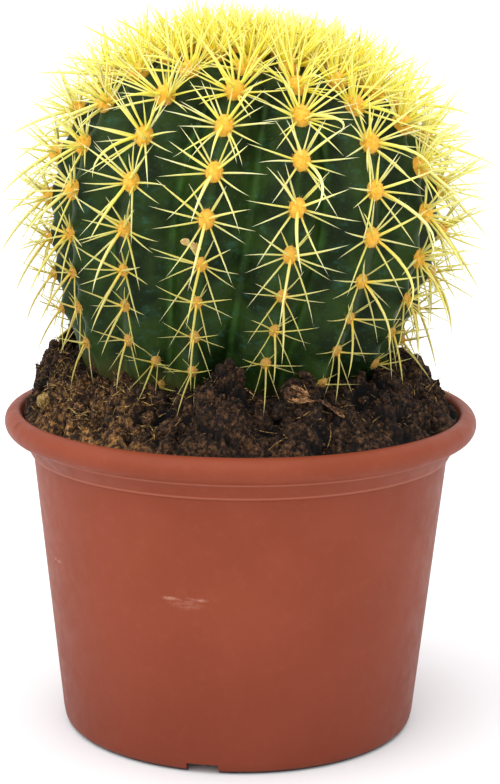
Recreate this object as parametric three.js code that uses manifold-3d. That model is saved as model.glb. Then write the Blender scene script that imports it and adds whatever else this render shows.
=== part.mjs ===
// A potted round cactus: a ribbed globe with yellow spines, in dark soil, in a round plastic nursery pot.
// Millimetres, +Z up, +X to the right, -Y towards the viewer. The origin is the centre of the pot's foot.
import * as THREE from "three";
import { mergeVertices } from "three/addons/utils/BufferGeometryUtils.js";
import Module from "manifold-3d";

const wasm = await Module();
wasm.setup();

// Clearance between pieces that touch, and how near points have to be to count as one.
const GAP = 0.3;
const WELD = 1e-4;

// Pot: outer radii and heights from the foot up to the rolled rim.
const POT_HEIGHT = 117;
const POT_SIDES = 48;
const FOOT_RADIUS = 64.2;
const FOOT_ROUND = 1.2;
const FOOT_WIDTH = 2.4;
const WALL = 1.7;
const FLOOR_UNDERSIDE = 3.4;
const FLOOR_THICKNESS = 1.8;
const WALL_TOP = { radius: 74.6, z: 100.7 };
const COLLAR_STEP = 0.5;
const COLLAR_TOP = { radius: 78.3, z: 107.1 };
const RIM = { radius: 80.6, reach: 4.4, rise: 4.9, start: -80, end: 90, steps: 5 };
const RIM_Z = POT_HEIGHT - RIM.rise;
const RIM_INNER = { radius: 79.3, z: POT_HEIGHT - 0.8 };
const NOTCHES = { count: 3, bearing: -12, width: 12, height: 2.8, depth: 20 };
const DRAIN_HOLES = { count: 6, radius: 4.5, circle: 42, sides: 12 };

// Soil: flush with the rim at the wall, mounded to the foot of the stem.
const SOIL_EDGE_Z = POT_HEIGHT - 3.2;
const SOIL_MOUND = 17;
const SOIL_MOUND_WIDTH = 19;
const SOIL_BLEND = 4;
const SOIL_SECTORS = 48;
const SOIL_RINGS = 7;
const SOIL_CORE_RADIUS = 40;
const SOIL_RING_SPACING = 0.8;
const SOIL_RELIEF = 1.6;
const SOIL_WAVES = { x: 0.53, y: 0.61, slantX: 0.9, slantY: -0.77, share: 0.7 };
const HOLE_FLARE = 6;
const HOLE_ROWS = [
  { arc: 206, clear: 0.6 },
  { arc: 173, clear: 0.6 },
  { arc: 161, clear: 1 },
  { arc: 152, clear: 3.2 },
  { arc: 143, clear: 4.5 },
];
const CLOD_POWER = 4;
const CLODS = [
  { x: -69, y: 24, radius: 13, height: 11 },
  { x: -70, y: 2, radius: 9, height: 6 },
  { x: 65, y: 29, radius: 10, height: 7 },
  { x: 49, y: -44, radius: 12, height: 7 },
  { x: 21, y: -65, radius: 9, height: 8 },
  { x: -6, y: -67, radius: 10, height: 12 },
  { x: -42, y: -52, radius: 10, height: 4 },
  { x: 5, y: 68, radius: 11, height: 7 },
];

// Stem: the crest line of the ribs, as two quarters of a rounded curve that meet at the equator.
// Areoles stay off the crown's edge, on the crown inside it or on the ribs outside it.
const STEM = { radius: 68.8, equator: 14, rise: 57.6, drop: 110, crownPower: 2.4, rootPower: 1.54 };
const STEM_PIVOT_Z = 171.2;
const STEM_OFFSET = { x: -1.4, y: -0.8 };
const LEAN_TO_X = 7.8;
const LEAN_TO_Y = 3.8;
const RIBS = 15;
const RIB_BEARING = 13.5;
const RIB_DEPTH = 9;
const RIB_POWER = 1.5;
const RIB_STARTS = { from: 34, full: 74 };
const RIB_ENDS = { from: 150, gone: 190 };
const CROWN_ARC = 36;
const CROWN_SEAT = 1.9;
const CROWN_EDGE = { inside: 33.4, outside: 39.5 };
const STEM_ROWS = [20, CROWN_ARC, 37.2, 48, 61, 75, 90, 106, 121, 136, 152, 173, 206];

// Areoles: distances along a rib from the crown, and the share of a step by which each rib's row is shifted.
const AREOLE_ARCS = [4, 18, 33, 48, 62.4, 79, 94.4, 110, 123.8, 136.2, 148.8, 162.8];
const RIB_SHIFTS = [0.9, 0.33, 0.74, 0.14, 0.58, 0.02, 0.46, 0.9, 0.34, 0.78, 0.22, 0.65, 0.32, 0.9, 0.41];
const LAST_AREOLE_ARC = 155.5;
const PAD = { sides: 6, radius: 2.45, inner: 1.25, edge: 0.3, shoulder: 1.7, top: 2.1, root: -4.5 };

// Spines: lengths on full-grown wood, angles above the skin, and how far each may stray from them.
const RADIAL = { length: 18.5, lift: 20, stray: 7, upward: 0.74, downward: 1.26, vary: 0.08 };
const CENTRALS = [
  { bearing: 60, lift: 50, length: 21 },
  { bearing: 180, lift: 37, length: 26 },
  { bearing: 300, lift: 50, length: 21 },
];
const CENTRAL_STRAY = { bearing: 11, lift: 6, vary: 0.07 };
const YOUNG = { arc: 70, extraLift: 16 };
const OLD = { from: 100, to: 158, shrink: 0.4 };
const SOIL_CLEARANCE = 1.6;
const BEND = { step: 9, limit: 70, tested: [0.35, 0.6, 0.8, 1] };

// Crown: a felted cap with the youngest areoles of the ribs as tufts of young spines.
const CROWN = { sides: 24, rows: [10, 20, 28, 35], felt: [1.1, 1.1, 1, 0.6], under: [20, 35], tuftRows: 3 };
const TUFT = { sides: 5, radius: 1.5, edge: 0.5, top: 1.3, root: -1.2, tries: 12 };
const YOUNG_SPINE = { length: 19.5, lift: 70, stray: 14, turn: 20, vary: 0.18 };

// Loose pieces on the soil; reach is half the width of soil that a piece lies along.
const FLAKE = {
  x: 21.5,
  y: -65.5,
  length: 17,
  width: 5.5,
  thickness: 1.1,
  curl: 0.7,
  turn: -16,
  rise: 1.2,
  steps: 6,
  reach: 7,
};
const CRUMB = { x: -69, y: -24, radius: 3.2, squash: 0.78, vary: 0.15, reach: 3 };

const DEGREE = Math.PI / 180;
const FULL_TURN = 2 * Math.PI;

// A repeatable series of draws, each from -1 to 1.
const DRAW = { series: 67, turn: 12.9898, phase: 4.1, spread: 43758.5453 };
function drawer(series) {
  let n = series * DRAW.series;
  return () => {
    n += 1;
    const s = Math.sin(n * DRAW.turn + DRAW.phase) * DRAW.spread;
    return 2 * (s - Math.floor(s)) - 1;
  };
}

function clamp01(x) {
  return Math.min(1, Math.max(0, x));
}

// Rises smoothly from 0 at a to 1 at b.
function ramp(x, a, b) {
  const s = clamp01((x - a) / (b - a));
  return s * s * (3 - 2 * s);
}

// A closed geometry as a solid that can be joined and cut.
function solidOf(geometry) {
  const bare = geometry.index ? geometry.toNonIndexed() : geometry.clone();
  bare.deleteAttribute("normal");
  bare.deleteAttribute("uv");
  const merged = mergeVertices(bare, WELD);
  const index = merged.index.array;
  const triangles = [];
  for (let i = 0; i < index.length; i += 3) {
    const [a, b, c] = [index[i], index[i + 1], index[i + 2]];
    if (a !== b && b !== c && c !== a) triangles.push(a, b, c);
  }
  const vertProperties = merged.attributes.position.array;
  const triVerts = new Uint32Array(triangles);
  return new wasm.Manifold(new wasm.Mesh({ numProp: 3, vertProperties, triVerts }));
}

function geometryOf(solid) {
  const { vertProperties, triVerts } = solid.getMesh();
  const geometry = new THREE.BufferGeometry();
  geometry.setAttribute("position", new THREE.BufferAttribute(vertProperties, 3));
  geometry.setIndex(new THREE.BufferAttribute(triVerts, 1));
  return geometry;
}

// Joins a list of solids pair by pair.
function joined(solids) {
  let list = solids;
  while (list.length > 1) {
    const next = [];
    for (let i = 0; i + 1 < list.length; i += 2) next.push(list[i].add(list[i + 1]));
    if (list.length % 2) next.push(list[list.length - 1]);
    list = next;
  }
  return list[0];
}

// A geometry from corner points and triangles of point numbers.
function geometryFrom(points, triangles) {
  const geometry = new THREE.BufferGeometry();
  geometry.setAttribute("position", new THREE.Float32BufferAttribute(points.flat(), 3));
  geometry.setIndex(triangles.flat());
  return geometry;
}

// A closed body of rings that share one number of sides, with a single point at each end.
// Rings run from the top down, and each ring runs counter-clockwise as seen from above.
function ringBody(top, rings, bottom) {
  const sides = rings[0].length;
  const points = [top, ...rings.flat(), bottom];
  const at = (row, i) => 1 + row * sides + (i % sides);
  const triangles = [];
  for (let i = 0; i < sides; i++) {
    triangles.push([0, at(0, i), at(0, i + 1)]);
    for (let row = 0; row + 1 < rings.length; row++) {
      triangles.push([at(row, i), at(row + 1, i), at(row + 1, i + 1)]);
      triangles.push([at(row, i), at(row + 1, i + 1), at(row, i + 1)]);
    }
    triangles.push([at(rings.length - 1, i + 1), at(rings.length - 1, i), points.length - 1]);
  }
  return geometryFrom(points, triangles);
}

// A lathe turned about +Z from [radius, z] pairs, from the axis at the bottom, out and up, to the axis.
function turned(profile, sides) {
  const points = profile.map(([radius, z]) => new THREE.Vector2(radius, z));
  return new THREE.LatheGeometry(points, sides).rotateX(Math.PI / 2);
}

// A point at a bearing round +Z, where 0 faces the viewer and 90 degrees faces +X.
function around(bearing, radius, z) {
  return [radius * Math.sin(bearing), -radius * Math.cos(bearing), z];
}

// Pot

function potProfile() {
  const outer = [[0, FLOOR_UNDERSIDE], [FOOT_RADIUS - FOOT_WIDTH - FOOT_ROUND, FLOOR_UNDERSIDE]];
  outer.push([FOOT_RADIUS - FOOT_WIDTH, 0], [FOOT_RADIUS - FOOT_ROUND, 0], [FOOT_RADIUS, FOOT_ROUND]);
  outer.push([WALL_TOP.radius, WALL_TOP.z], [WALL_TOP.radius + COLLAR_STEP, WALL_TOP.z + COLLAR_STEP]);
  outer.push([COLLAR_TOP.radius, COLLAR_TOP.z]);
  const rim = [];
  for (let i = 0; i <= RIM.steps; i++) {
    const angle = (RIM.start + ((RIM.end - RIM.start) * i) / RIM.steps) * DEGREE;
    rim.push([RIM.radius + RIM.reach * Math.cos(angle), RIM_Z + RIM.rise * Math.sin(angle)]);
  }
  const floorTop = FLOOR_UNDERSIDE + FLOOR_THICKNESS;
  const inner = [[RIM_INNER.radius, RIM_INNER.z], [wallInside(COLLAR_TOP.z), COLLAR_TOP.z]];
  inner.push([wallInside(WALL_TOP.z), WALL_TOP.z], [wallInside(floorTop), floorTop], [0, floorTop]);
  return [...outer, ...rim, ...inner];
}

// Radius of the pot's inner wall at a height.
function wallInside(z) {
  const slope = (WALL_TOP.radius - FOOT_RADIUS) / WALL_TOP.z;
  if (z <= WALL_TOP.z) return FOOT_RADIUS + slope * z - WALL;
  if (z <= COLLAR_TOP.z) {
    const s = (z - WALL_TOP.z) / (COLLAR_TOP.z - WALL_TOP.z);
    return THREE.MathUtils.lerp(WALL_TOP.radius - WALL, COLLAR_TOP.radius - WALL, s);
  }
  const s = (z - COLLAR_TOP.z) / (RIM_INNER.z - COLLAR_TOP.z);
  return THREE.MathUtils.lerp(COLLAR_TOP.radius - WALL, RIM_INNER.radius, s);
}

// A box through the foot ring at each notch.
function footNotches() {
  const cuts = [];
  for (let i = 0; i < NOTCHES.count; i++) {
    const bearing = (NOTCHES.bearing + (i * 360) / NOTCHES.count) * DEGREE;
    const box = new THREE.BoxGeometry(NOTCHES.width, NOTCHES.depth, 2 * NOTCHES.height);
    box.translate(0, -FOOT_RADIUS, 0).rotateZ(bearing);
    cuts.push(solidOf(box));
  }
  return cuts;
}

function drainHoles() {
  const cuts = [];
  for (let i = 0; i < DRAIN_HOLES.count; i++) {
    const hole = new THREE.CylinderGeometry(
      DRAIN_HOLES.radius, DRAIN_HOLES.radius, 4 * FLOOR_THICKNESS, DRAIN_HOLES.sides);
    hole.rotateX(Math.PI / 2).translate(DRAIN_HOLES.circle, 0, FLOOR_UNDERSIDE);
    cuts.push(solidOf(hole.rotateZ((i * FULL_TURN) / DRAIN_HOLES.count)));
  }
  return cuts;
}

function potSolid() {
  const shell = solidOf(turned(potProfile(), POT_SIDES));
  return shell.subtract(joined([...footNotches(), ...drainHoles()]));
}

// Stem

// Crest line at polar angle t, 0 at the crown and PI at the root: radius, height and the outward normal.
function crest(t) {
  const at = (angle) => {
    const c = Math.cos(angle);
    const power = 2 / (c > 0 ? STEM.crownPower : STEM.rootPower);
    const height = c > 0 ? STEM.rise : STEM.drop;
    const rise = Math.sign(c) * height * Math.abs(c) ** power;
    return [STEM.radius * Math.abs(Math.sin(angle)) ** power, STEM.equator + rise];
  };
  const step = 1e-3;
  const [radius, z] = at(t);
  const [r0, z0] = at(Math.max(t - step, 0));
  const [r1, z1] = at(Math.min(t + step, Math.PI));
  const length = Math.hypot(r1 - r0, z1 - z0);
  return { radius, z, normalR: (z0 - z1) / length, normalZ: (r1 - r0) / length };
}

// Distance along the crest line at even steps of the polar angle.
const ARC_STEPS = 1440;
const ARCS = [0];
for (let i = 1; i <= ARC_STEPS; i++) {
  const a = crest(((i - 1) * Math.PI) / ARC_STEPS);
  const b = crest((i * Math.PI) / ARC_STEPS);
  ARCS.push(ARCS[i - 1] + Math.hypot(b.radius - a.radius, b.z - a.z));
}

function angleAtArc(arc) {
  const i = Math.max(1, ARCS.findIndex((length) => length >= arc));
  return ((i - 1 + (arc - ARCS[i - 1]) / (ARCS[i] - ARCS[i - 1])) * Math.PI) / ARC_STEPS;
}

// A point on the stem at a bearing, at an arc from the crown, sunk below the crest line by an inset.
function stemPoint(bearing, arc, inset) {
  const line = crest(angleAtArc(arc));
  return around(bearing, line.radius - inset * line.normalR, line.z - inset * line.normalZ);
}

// How deep the skin lies below the crest line; share is 0 on a rib and 1 in the valley beside it.
function ribInset(arc, share) {
  const grown = ramp(arc, RIB_STARTS.from, RIB_STARTS.full) * (1 - ramp(arc, RIB_ENDS.from, RIB_ENDS.gone));
  const seat = arc <= CROWN_ARC ? CROWN_SEAT : 0;
  return seat + RIB_DEPTH * grown * share ** RIB_POWER;
}

function ribBearing(rib) {
  return (RIB_BEARING + (rib * 360) / RIBS) * DEGREE;
}

function stemBody() {
  // A rib, its flank, the valley and the next flank.
  const shares = [0, 0.5, 1, 0.5];
  const rings = STEM_ROWS.map((arc) => {
    const ring = [];
    for (let i = 0; i < RIBS * shares.length; i++) {
      const bearing = ribBearing(i / shares.length);
      ring.push(stemPoint(bearing, arc, ribInset(arc, shares[i % shares.length])));
    }
    return ring;
  });
  const crown = stemPoint(0, 0, CROWN_SEAT);
  return solidOf(ringBody(crown, rings, [0, 0, crest(Math.PI).z]));
}

// Local frame of an areole: x across the rib, y up the rib, z out from the skin.
function areoleFrame(bearing, arc) {
  const line = crest(angleAtArc(arc));
  const across = new THREE.Vector3(Math.cos(bearing), Math.sin(bearing), 0);
  const out = new THREE.Vector3(...around(bearing, line.normalR, line.normalZ));
  const up = new THREE.Vector3().crossVectors(out, across);
  return new THREE.Matrix4().makeBasis(across, up, out).setPosition(...around(bearing, line.radius, line.z));
}

// A direction by its bearing from the top of the areole, clockwise, and its lift from the skin.
function spineDirection(bearing, lift) {
  const b = bearing * DEGREE;
  const l = lift * DEGREE;
  return new THREE.Vector3(Math.sin(b) * Math.cos(l), Math.cos(b) * Math.cos(l), Math.sin(l));
}

// Spines of one areole: the facet that each stands on, its bearing, lift and length.
function spinePlan(rib, row, arc) {
  const next = drawer(rib * AREOLE_ARCS.length + row);
  const young = YOUNG.extraLift * (1 - ramp(arc, CROWN_ARC, YOUNG.arc));
  const size = 1 - OLD.shrink * ramp(arc, OLD.from, OLD.to);
  const plan = [];
  for (let i = 0; i < PAD.sides; i++) {
    const bearing = ((i + 0.5) * 360) / PAD.sides + RADIAL.stray * next();
    const down = (1 - Math.cos(bearing * DEGREE)) / 2;
    const reach = THREE.MathUtils.lerp(RADIAL.upward, RADIAL.downward, down) + RADIAL.vary * next();
    const lift = RADIAL.lift + RADIAL.stray * next() + young;
    plan.push({ facet: "edge" + i, bearing, lift, length: RADIAL.length * size * reach });
  }
  CENTRALS.forEach((central, i) => {
    const bearing = central.bearing + CENTRAL_STRAY.bearing * next();
    const lift = central.lift + CENTRAL_STRAY.lift * next() + young / 2;
    const length = central.length * size * (1 + CENTRAL_STRAY.vary * next());
    plan.push({ facet: "top" + i, bearing, lift, length });
  });
  return plan;
}

// Bends a spine away from the soil and the rim, and drops it where it can't be cleared.
function clearTip(base, spine, toWorld) {
  for (let lift = spine.lift; lift <= BEND.limit; lift += BEND.step) {
    const tip = base.clone().addScaledVector(spineDirection(spine.bearing, lift), spine.length);
    const clear = BEND.tested.every((share) => {
      const p = base.clone().lerp(tip, share).applyMatrix4(toWorld);
      return p.z > ground(p.x, p.y) + SOIL_CLEARANCE;
    });
    if (clear) return tip;
  }
  return null;
}

// An areole: a low felted pad of two rings on a root that sinks into the rib.
// A spine is a facet of the pad drawn out to a tip.
function areoleSolid({ rib, row, bearing, arc }) {
  const frame = areoleFrame(bearing, arc);
  const toWorld = plant.matrix.clone().multiply(frame);
  const ring = (i, turn, radius, z) => {
    const angle = i * turn;
    return [radius * Math.sin(angle), radius * Math.cos(angle), z];
  };
  const points = [];
  const sides = PAD.sides;
  const facing = sides / 2;
  for (let i = 0; i < sides; i++) points.push(ring(i, FULL_TURN / sides, PAD.radius, PAD.edge));
  for (let i = 0; i < facing; i++) points.push(ring(i, FULL_TURN / facing, PAD.inner, PAD.shoulder));
  const centre = points.push([0, 0, PAD.top]) - 1;
  const root = points.push([0, 0, PAD.root]) - 1;
  const facets = new Map();
  for (let i = 0; i < sides; i++) {
    const inner = sides + (((i + 1) >> 1) % facing);
    facets.set("edge" + i, [(i + 1) % sides, i, inner]);
    facets.set("root" + i, [i, (i + 1) % sides, root]);
  }
  for (let i = 0; i < facing; i++) {
    const [left, right] = [sides + i, sides + ((i + 1) % facing)];
    facets.set("shoulder" + i, [2 * i + 1, left, right]);
    facets.set("top" + i, [centre, right, left]);
  }
  for (const spine of spinePlan(rib, row, arc)) {
    const [a, b, c] = facets.get(spine.facet);
    const base = new THREE.Vector3();
    for (const i of [a, b, c]) base.addScaledVector(new THREE.Vector3(...points[i]), 1 / 3);
    const tip = clearTip(base, spine, toWorld);
    if (!tip) continue;
    const apex = points.push(tip.toArray()) - 1;
    facets.set(spine.facet, [a, b, apex, b, c, apex, c, a, apex]);
  }
  return solidOf(geometryFrom(points, [...facets.values()]).applyMatrix4(frame));
}

// Distance from the crown of the areole numbered row on a rib, with the rib's shift added.
// An areole that would lie across the crown's edge is moved to the nearer side of it.
function areoleArc(rib, row) {
  const arc = THREE.MathUtils.lerp(AREOLE_ARCS[row], AREOLE_ARCS[row + 1], RIB_SHIFTS[rib]);
  if (arc <= CROWN_EDGE.inside || arc >= CROWN_EDGE.outside) return arc;
  return arc < (CROWN_EDGE.inside + CROWN_EDGE.outside) / 2 ? CROWN_EDGE.inside : CROWN_EDGE.outside;
}

// Rib, row, bearing and arc of every areole.
function areoles() {
  const list = [];
  for (let rib = 0; rib < RIBS; rib++) {
    for (let row = 0; row + 1 < AREOLE_ARCS.length; row++) {
      const arc = areoleArc(rib, row);
      if (arc < LAST_AREOLE_ARC) list.push({ rib, row, bearing: ribBearing(rib), arc });
    }
  }
  return list;
}

function stemSolid() {
  const grown = areoles().filter(({ arc }) => arc >= CROWN_EDGE.outside);
  return joined([stemBody(), ...grown.map(areoleSolid)]);
}

// Crown

// A felted cap that lies in the seat at the top of the stem.
function crownCap() {
  const lifted = (arc, lift) => {
    const line = crest(angleAtArc(arc));
    return [line.radius + lift * line.normalR, line.z + lift * line.normalZ];
  };
  const under = GAP - CROWN_SEAT;
  const bottom = CROWN.under.map((arc) => lifted(arc, under));
  const top = CROWN.rows.map((arc, i) => lifted(arc, CROWN.felt[i]));
  const profile = [[0, crest(0).z + under], ...bottom, ...top.reverse(), [0, crest(0).z + CROWN.felt[0]]];
  return solidOf(turned(profile, CROWN.sides));
}

// A tuft of young spines: a small star of facets, each drawn out to a tip.
function tuftSolid({ rib, row, bearing, arc }, attempt) {
  const points = [];
  for (let i = 0; i < TUFT.sides; i++) {
    const angle = (i * FULL_TURN) / TUFT.sides;
    points.push([TUFT.radius * Math.sin(angle), TUFT.radius * Math.cos(angle), TUFT.edge]);
  }
  const centre = points.push([0, 0, TUFT.top]) - 1;
  const root = points.push([0, 0, TUFT.root]) - 1;
  const triangles = [];
  const number = rib * CROWN.tuftRows + row;
  const next = drawer(RIBS * AREOLE_ARCS.length + number * TUFT.tries + attempt);
  for (let i = 0; i < TUFT.sides; i++) {
    const turn = (360 * (i + 0.5)) / TUFT.sides + YOUNG_SPINE.turn * next();
    const lift = YOUNG_SPINE.lift + YOUNG_SPINE.stray * next();
    const length = YOUNG_SPINE.length * (1 + YOUNG_SPINE.vary * next());
    const apex = points.push(spineDirection(turn, lift).multiplyScalar(length).toArray()) - 1;
    const after = (i + 1) % TUFT.sides;
    triangles.push([after, i, apex], [i, centre, apex], [centre, after, apex], [i, after, root]);
  }
  return solidOf(geometryFrom(points, triangles).applyMatrix4(areoleFrame(bearing, arc)));
}

// Tufts whose spines would cross those of the ribs are drawn again, and left out where no draw is clear.
function crownSolid(stem) {
  const pieces = [crownCap()];
  for (const areole of areoles().filter(({ arc }) => arc <= CROWN_EDGE.inside)) {
    for (let attempt = 0; attempt < TUFT.tries; attempt++) {
      const tuft = tuftSolid(areole, attempt);
      if (!tuft.intersect(stem).isEmpty()) continue;
      pieces.push(tuft);
      break;
    }
  }
  return joined(pieces);
}

// Soil

// Height of the soil at a place, with its mound, clods and crumbs.
function soilHeight(x, y) {
  const radius = Math.hypot(x, y);
  const inward = wallInside(SOIL_EDGE_Z) - GAP - radius;
  const blend = clamp01(inward / SOIL_BLEND);
  let z = SOIL_EDGE_Z + SOIL_MOUND * ramp(inward, -SOIL_BLEND, SOIL_MOUND_WIDTH);
  for (const clod of CLODS) {
    const away = Math.hypot(x - clod.x, y - clod.y) / clod.radius;
    z += clod.height * Math.max(0, 1 - away ** CLOD_POWER) * blend;
  }
  const slant = Math.sin(SOIL_WAVES.slantX * x + SOIL_WAVES.slantY * y);
  const relief = Math.cos(SOIL_WAVES.x * x) * Math.sin(SOIL_WAVES.y * y) + SOIL_WAVES.share * slant;
  return z + SOIL_RELIEF * relief * blend;
}

// Height that a spine has to stay above: the soil, or the rim beyond it, or nothing outside the rim.
function ground(x, y) {
  const radius = Math.hypot(x, y);
  if (radius > RIM.radius + RIM.reach + SOIL_CLEARANCE) return 0;
  return radius > wallInside(SOIL_EDGE_Z) - SOIL_CLEARANCE ? POT_HEIGHT : soilHeight(x, y);
}

function soilBlock() {
  const edge = wallInside(SOIL_EDGE_Z) - GAP;
  const floorTop = FLOOR_UNDERSIDE + FLOOR_THICKNESS + GAP;
  const ring = (radius, height) => {
    const points = [];
    for (let i = 0; i < SOIL_SECTORS; i++) {
      const [x, y] = around((i * FULL_TURN) / SOIL_SECTORS, radius, 0);
      points.push([x, y, height(x, y)]);
    }
    return points;
  };
  const rings = [];
  for (let i = 0; i <= SOIL_RINGS; i++) {
    const share = (i / SOIL_RINGS) ** SOIL_RING_SPACING;
    rings.push(ring(THREE.MathUtils.lerp(SOIL_CORE_RADIUS, edge, share), soilHeight));
  }
  for (const z of [COLLAR_TOP.z, WALL_TOP.z, floorTop]) rings.push(ring(wallInside(z) - GAP, () => z));
  return solidOf(ringBody([0, 0, SOIL_EDGE_Z + SOIL_MOUND], rings, [0, 0, floorTop]));
}

// A plain round hole for the stem, a little wider than its crests, flared where the stem leaves the soil.
function stemHole() {
  const line = HOLE_ROWS.map(({ arc, clear }) => {
    const at = crest(angleAtArc(arc));
    return [at.radius + clear * at.normalR, at.z + clear * at.normalZ];
  });
  const [radius, z] = line[line.length - 1];
  const top = z + SOIL_MOUND;
  const profile = [[0, crest(Math.PI).z - 2 * GAP], ...line, [radius + HOLE_FLARE, top], [0, top]];
  return solidOf(turned(profile, SOIL_SECTORS).applyMatrix4(plant.matrix));
}

// Loose pieces

// A dry curled flake: a thin arched strip, pointed at both ends.
function flakeSolid(soil) {
  const rings = [];
  for (let i = 1; i < FLAKE.steps; i++) {
    const s = (2 * i) / FLAKE.steps - 1;
    const half = (FLAKE.width / 2) * Math.sqrt(1 - s * s);
    const x = (s * FLAKE.length) / 2;
    const z = FLAKE.rise * s * s;
    const upper = [[x, -half, z + FLAKE.curl], [x, 0, z], [x, half, z + FLAKE.curl]];
    const lower = upper.map(([px, py, pz]) => [px, py, pz - FLAKE.thickness]);
    rings.push([...upper, ...lower.reverse()]);
  }
  const end = (side) => [(side * FLAKE.length) / 2, 0, FLAKE.rise];
  const strip = ringBody(end(-1), rings, end(1));
  return seated(strip.rotateZ(FLAKE.turn * DEGREE), FLAKE, soil);
}

// A pale porous crumb.
function crumbSolid(soil) {
  const ball = new THREE.IcosahedronGeometry(CRUMB.radius, 1);
  const crumb = mergeVertices(ball.deleteAttribute("uv").deleteAttribute("normal"));
  const position = crumb.attributes.position;
  const next = drawer(0);
  for (let i = 0; i < position.count; i++) {
    const corner = new THREE.Vector3().fromBufferAttribute(position, i);
    corner.multiplyScalar(1 + CRUMB.vary * next());
    position.setXYZ(i, corner.x, corner.y, corner.z * CRUMB.squash);
  }
  return seated(crumb, CRUMB, soil);
}

// Lays a small geometry on the slope of the soil at its place, and lets it down until it all but touches.
function seated(geometry, place, soil) {
  const reach = place.reach;
  const slopeX = (soilHeight(place.x + reach, place.y) - soilHeight(place.x - reach, place.y)) / (2 * reach);
  const slopeY = (soilHeight(place.x, place.y + reach) - soilHeight(place.x, place.y - reach)) / (2 * reach);
  const up = new THREE.Vector3(-slopeX, -slopeY, 1).normalize();
  geometry.applyQuaternion(new THREE.Quaternion().setFromUnitVectors(new THREE.Vector3(0, 0, 1), up));
  geometry.translate(place.x, place.y, POT_HEIGHT + SOIL_MOUND + reach);
  const step = GAP / 2;
  while (solidOf(geometry).intersect(soil).isEmpty()) geometry.translate(0, 0, -step);
  return solidOf(geometry.translate(0, 0, step + GAP));
}

// Assembly

const plant = new THREE.Group();
plant.position.set(STEM_OFFSET.x, STEM_OFFSET.y, STEM_PIVOT_Z);
plant.rotation.set(-LEAN_TO_Y * DEGREE, LEAN_TO_X * DEGREE, 0);
plant.updateMatrix();

function piece(name, solid, color, roughness, parent) {
  const material = new THREE.MeshStandardMaterial({ color, roughness, metalness: 0 });
  const mesh = new THREE.Mesh(geometryOf(solid), material);
  mesh.name = name;
  parent.add(mesh);
  return mesh;
}

const pottedCactus = new THREE.Group();
pottedCactus.add(plant);

const stem = stemSolid();
const soil = soilBlock().subtract(stemHole());
piece("pot", potSolid(), 0x9c5340, 0.55, pottedCactus);
piece("soil", soil, 0x2f2118, 0.95, pottedCactus);
piece("stem_with_spines", stem, 0x2c4a2a, 0.5, plant);
piece("crown_of_young_spines", crownSolid(stem), 0xf0dc5a, 0.6, plant);
piece("dry_flake", flakeSolid(soil), 0x9a6a44, 0.85, pottedCactus);
piece("pale_crumb", crumbSolid(soil), 0xc9a94e, 0.9, pottedCactus);

export default pottedCactus;
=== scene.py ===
# %% [markdown]
# # A round cactus in a nursery pot
#
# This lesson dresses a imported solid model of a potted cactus, so that it looks like the real plant. The
# solid model gives the sizes: a ribbed globe with felt pads and yellow spines, dark peat, and a plastic
# pot. Blender adds what a solid model has too few faces for: fine spines, felt, crumbs, creases and the
# finishes. Each step says what the piece is on the real plant, how it could be made, and why it is made
# this way.

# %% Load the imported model
from functools import partial
from itertools import product
from math import copysign, cos, hypot, pi, radians, sin

import bmesh
import bpy
import numpy as np
from mathutils import Euler, Matrix, Vector, noise
from mathutils.bvhtree import BVHTree


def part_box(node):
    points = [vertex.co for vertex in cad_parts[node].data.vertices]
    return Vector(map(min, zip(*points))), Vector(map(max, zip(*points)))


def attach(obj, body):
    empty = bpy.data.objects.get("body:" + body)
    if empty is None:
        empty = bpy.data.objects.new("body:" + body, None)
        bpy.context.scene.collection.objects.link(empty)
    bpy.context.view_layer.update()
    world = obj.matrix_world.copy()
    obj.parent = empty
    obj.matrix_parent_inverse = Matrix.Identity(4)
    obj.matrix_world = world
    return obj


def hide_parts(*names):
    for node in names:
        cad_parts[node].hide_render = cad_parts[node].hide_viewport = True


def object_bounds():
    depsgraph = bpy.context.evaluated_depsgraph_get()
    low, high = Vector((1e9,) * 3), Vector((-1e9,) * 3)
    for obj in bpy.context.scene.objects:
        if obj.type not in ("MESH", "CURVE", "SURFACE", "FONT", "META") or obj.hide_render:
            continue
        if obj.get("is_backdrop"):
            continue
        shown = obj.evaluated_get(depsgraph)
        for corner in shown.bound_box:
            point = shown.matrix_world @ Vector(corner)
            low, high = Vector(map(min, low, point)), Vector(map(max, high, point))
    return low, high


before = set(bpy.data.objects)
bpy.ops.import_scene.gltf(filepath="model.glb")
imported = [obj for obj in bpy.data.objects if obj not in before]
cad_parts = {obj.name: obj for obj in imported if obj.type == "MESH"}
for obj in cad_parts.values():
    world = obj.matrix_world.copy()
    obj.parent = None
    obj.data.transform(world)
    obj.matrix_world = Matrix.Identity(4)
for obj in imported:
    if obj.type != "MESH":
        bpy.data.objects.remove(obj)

cad_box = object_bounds()
print("nodes:", ", ".join(sorted(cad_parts)))

# %% [markdown]
# ## Helpers
#
# Hex colours are what the eye picks on a screen, but shaders count light, so one function turns them to
# linear. Node trees are written as plain calls: one function adds a node of any kind, fills or links its
# sockets, and hands back an output for the next node. The sizes in this lesson are millimetres, and
# meshes are in metres.

# %% Helpers for colours, nodes and meshes
MM = 0.001
TIMES, PLUS, MINUS, OVER = "Math.MULTIPLY", "Math.ADD", "Math.SUBTRACT", "Math.DIVIDE"
CARRIED, VECTOR = "InputNamedAttribute", {"data_type": "FLOAT_VECTOR"}


def linear(hex_colour):
    """An sRGB hex colour as linear RGBA."""
    values = [int(hex_colour[i:i + 2], 16) / 255 for i in (1, 3, 5)]
    return [v / 12.92 if v <= 0.04045 else ((v + 0.055) / 1.055) ** 2.4 for v in values] + [1.0]


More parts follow.
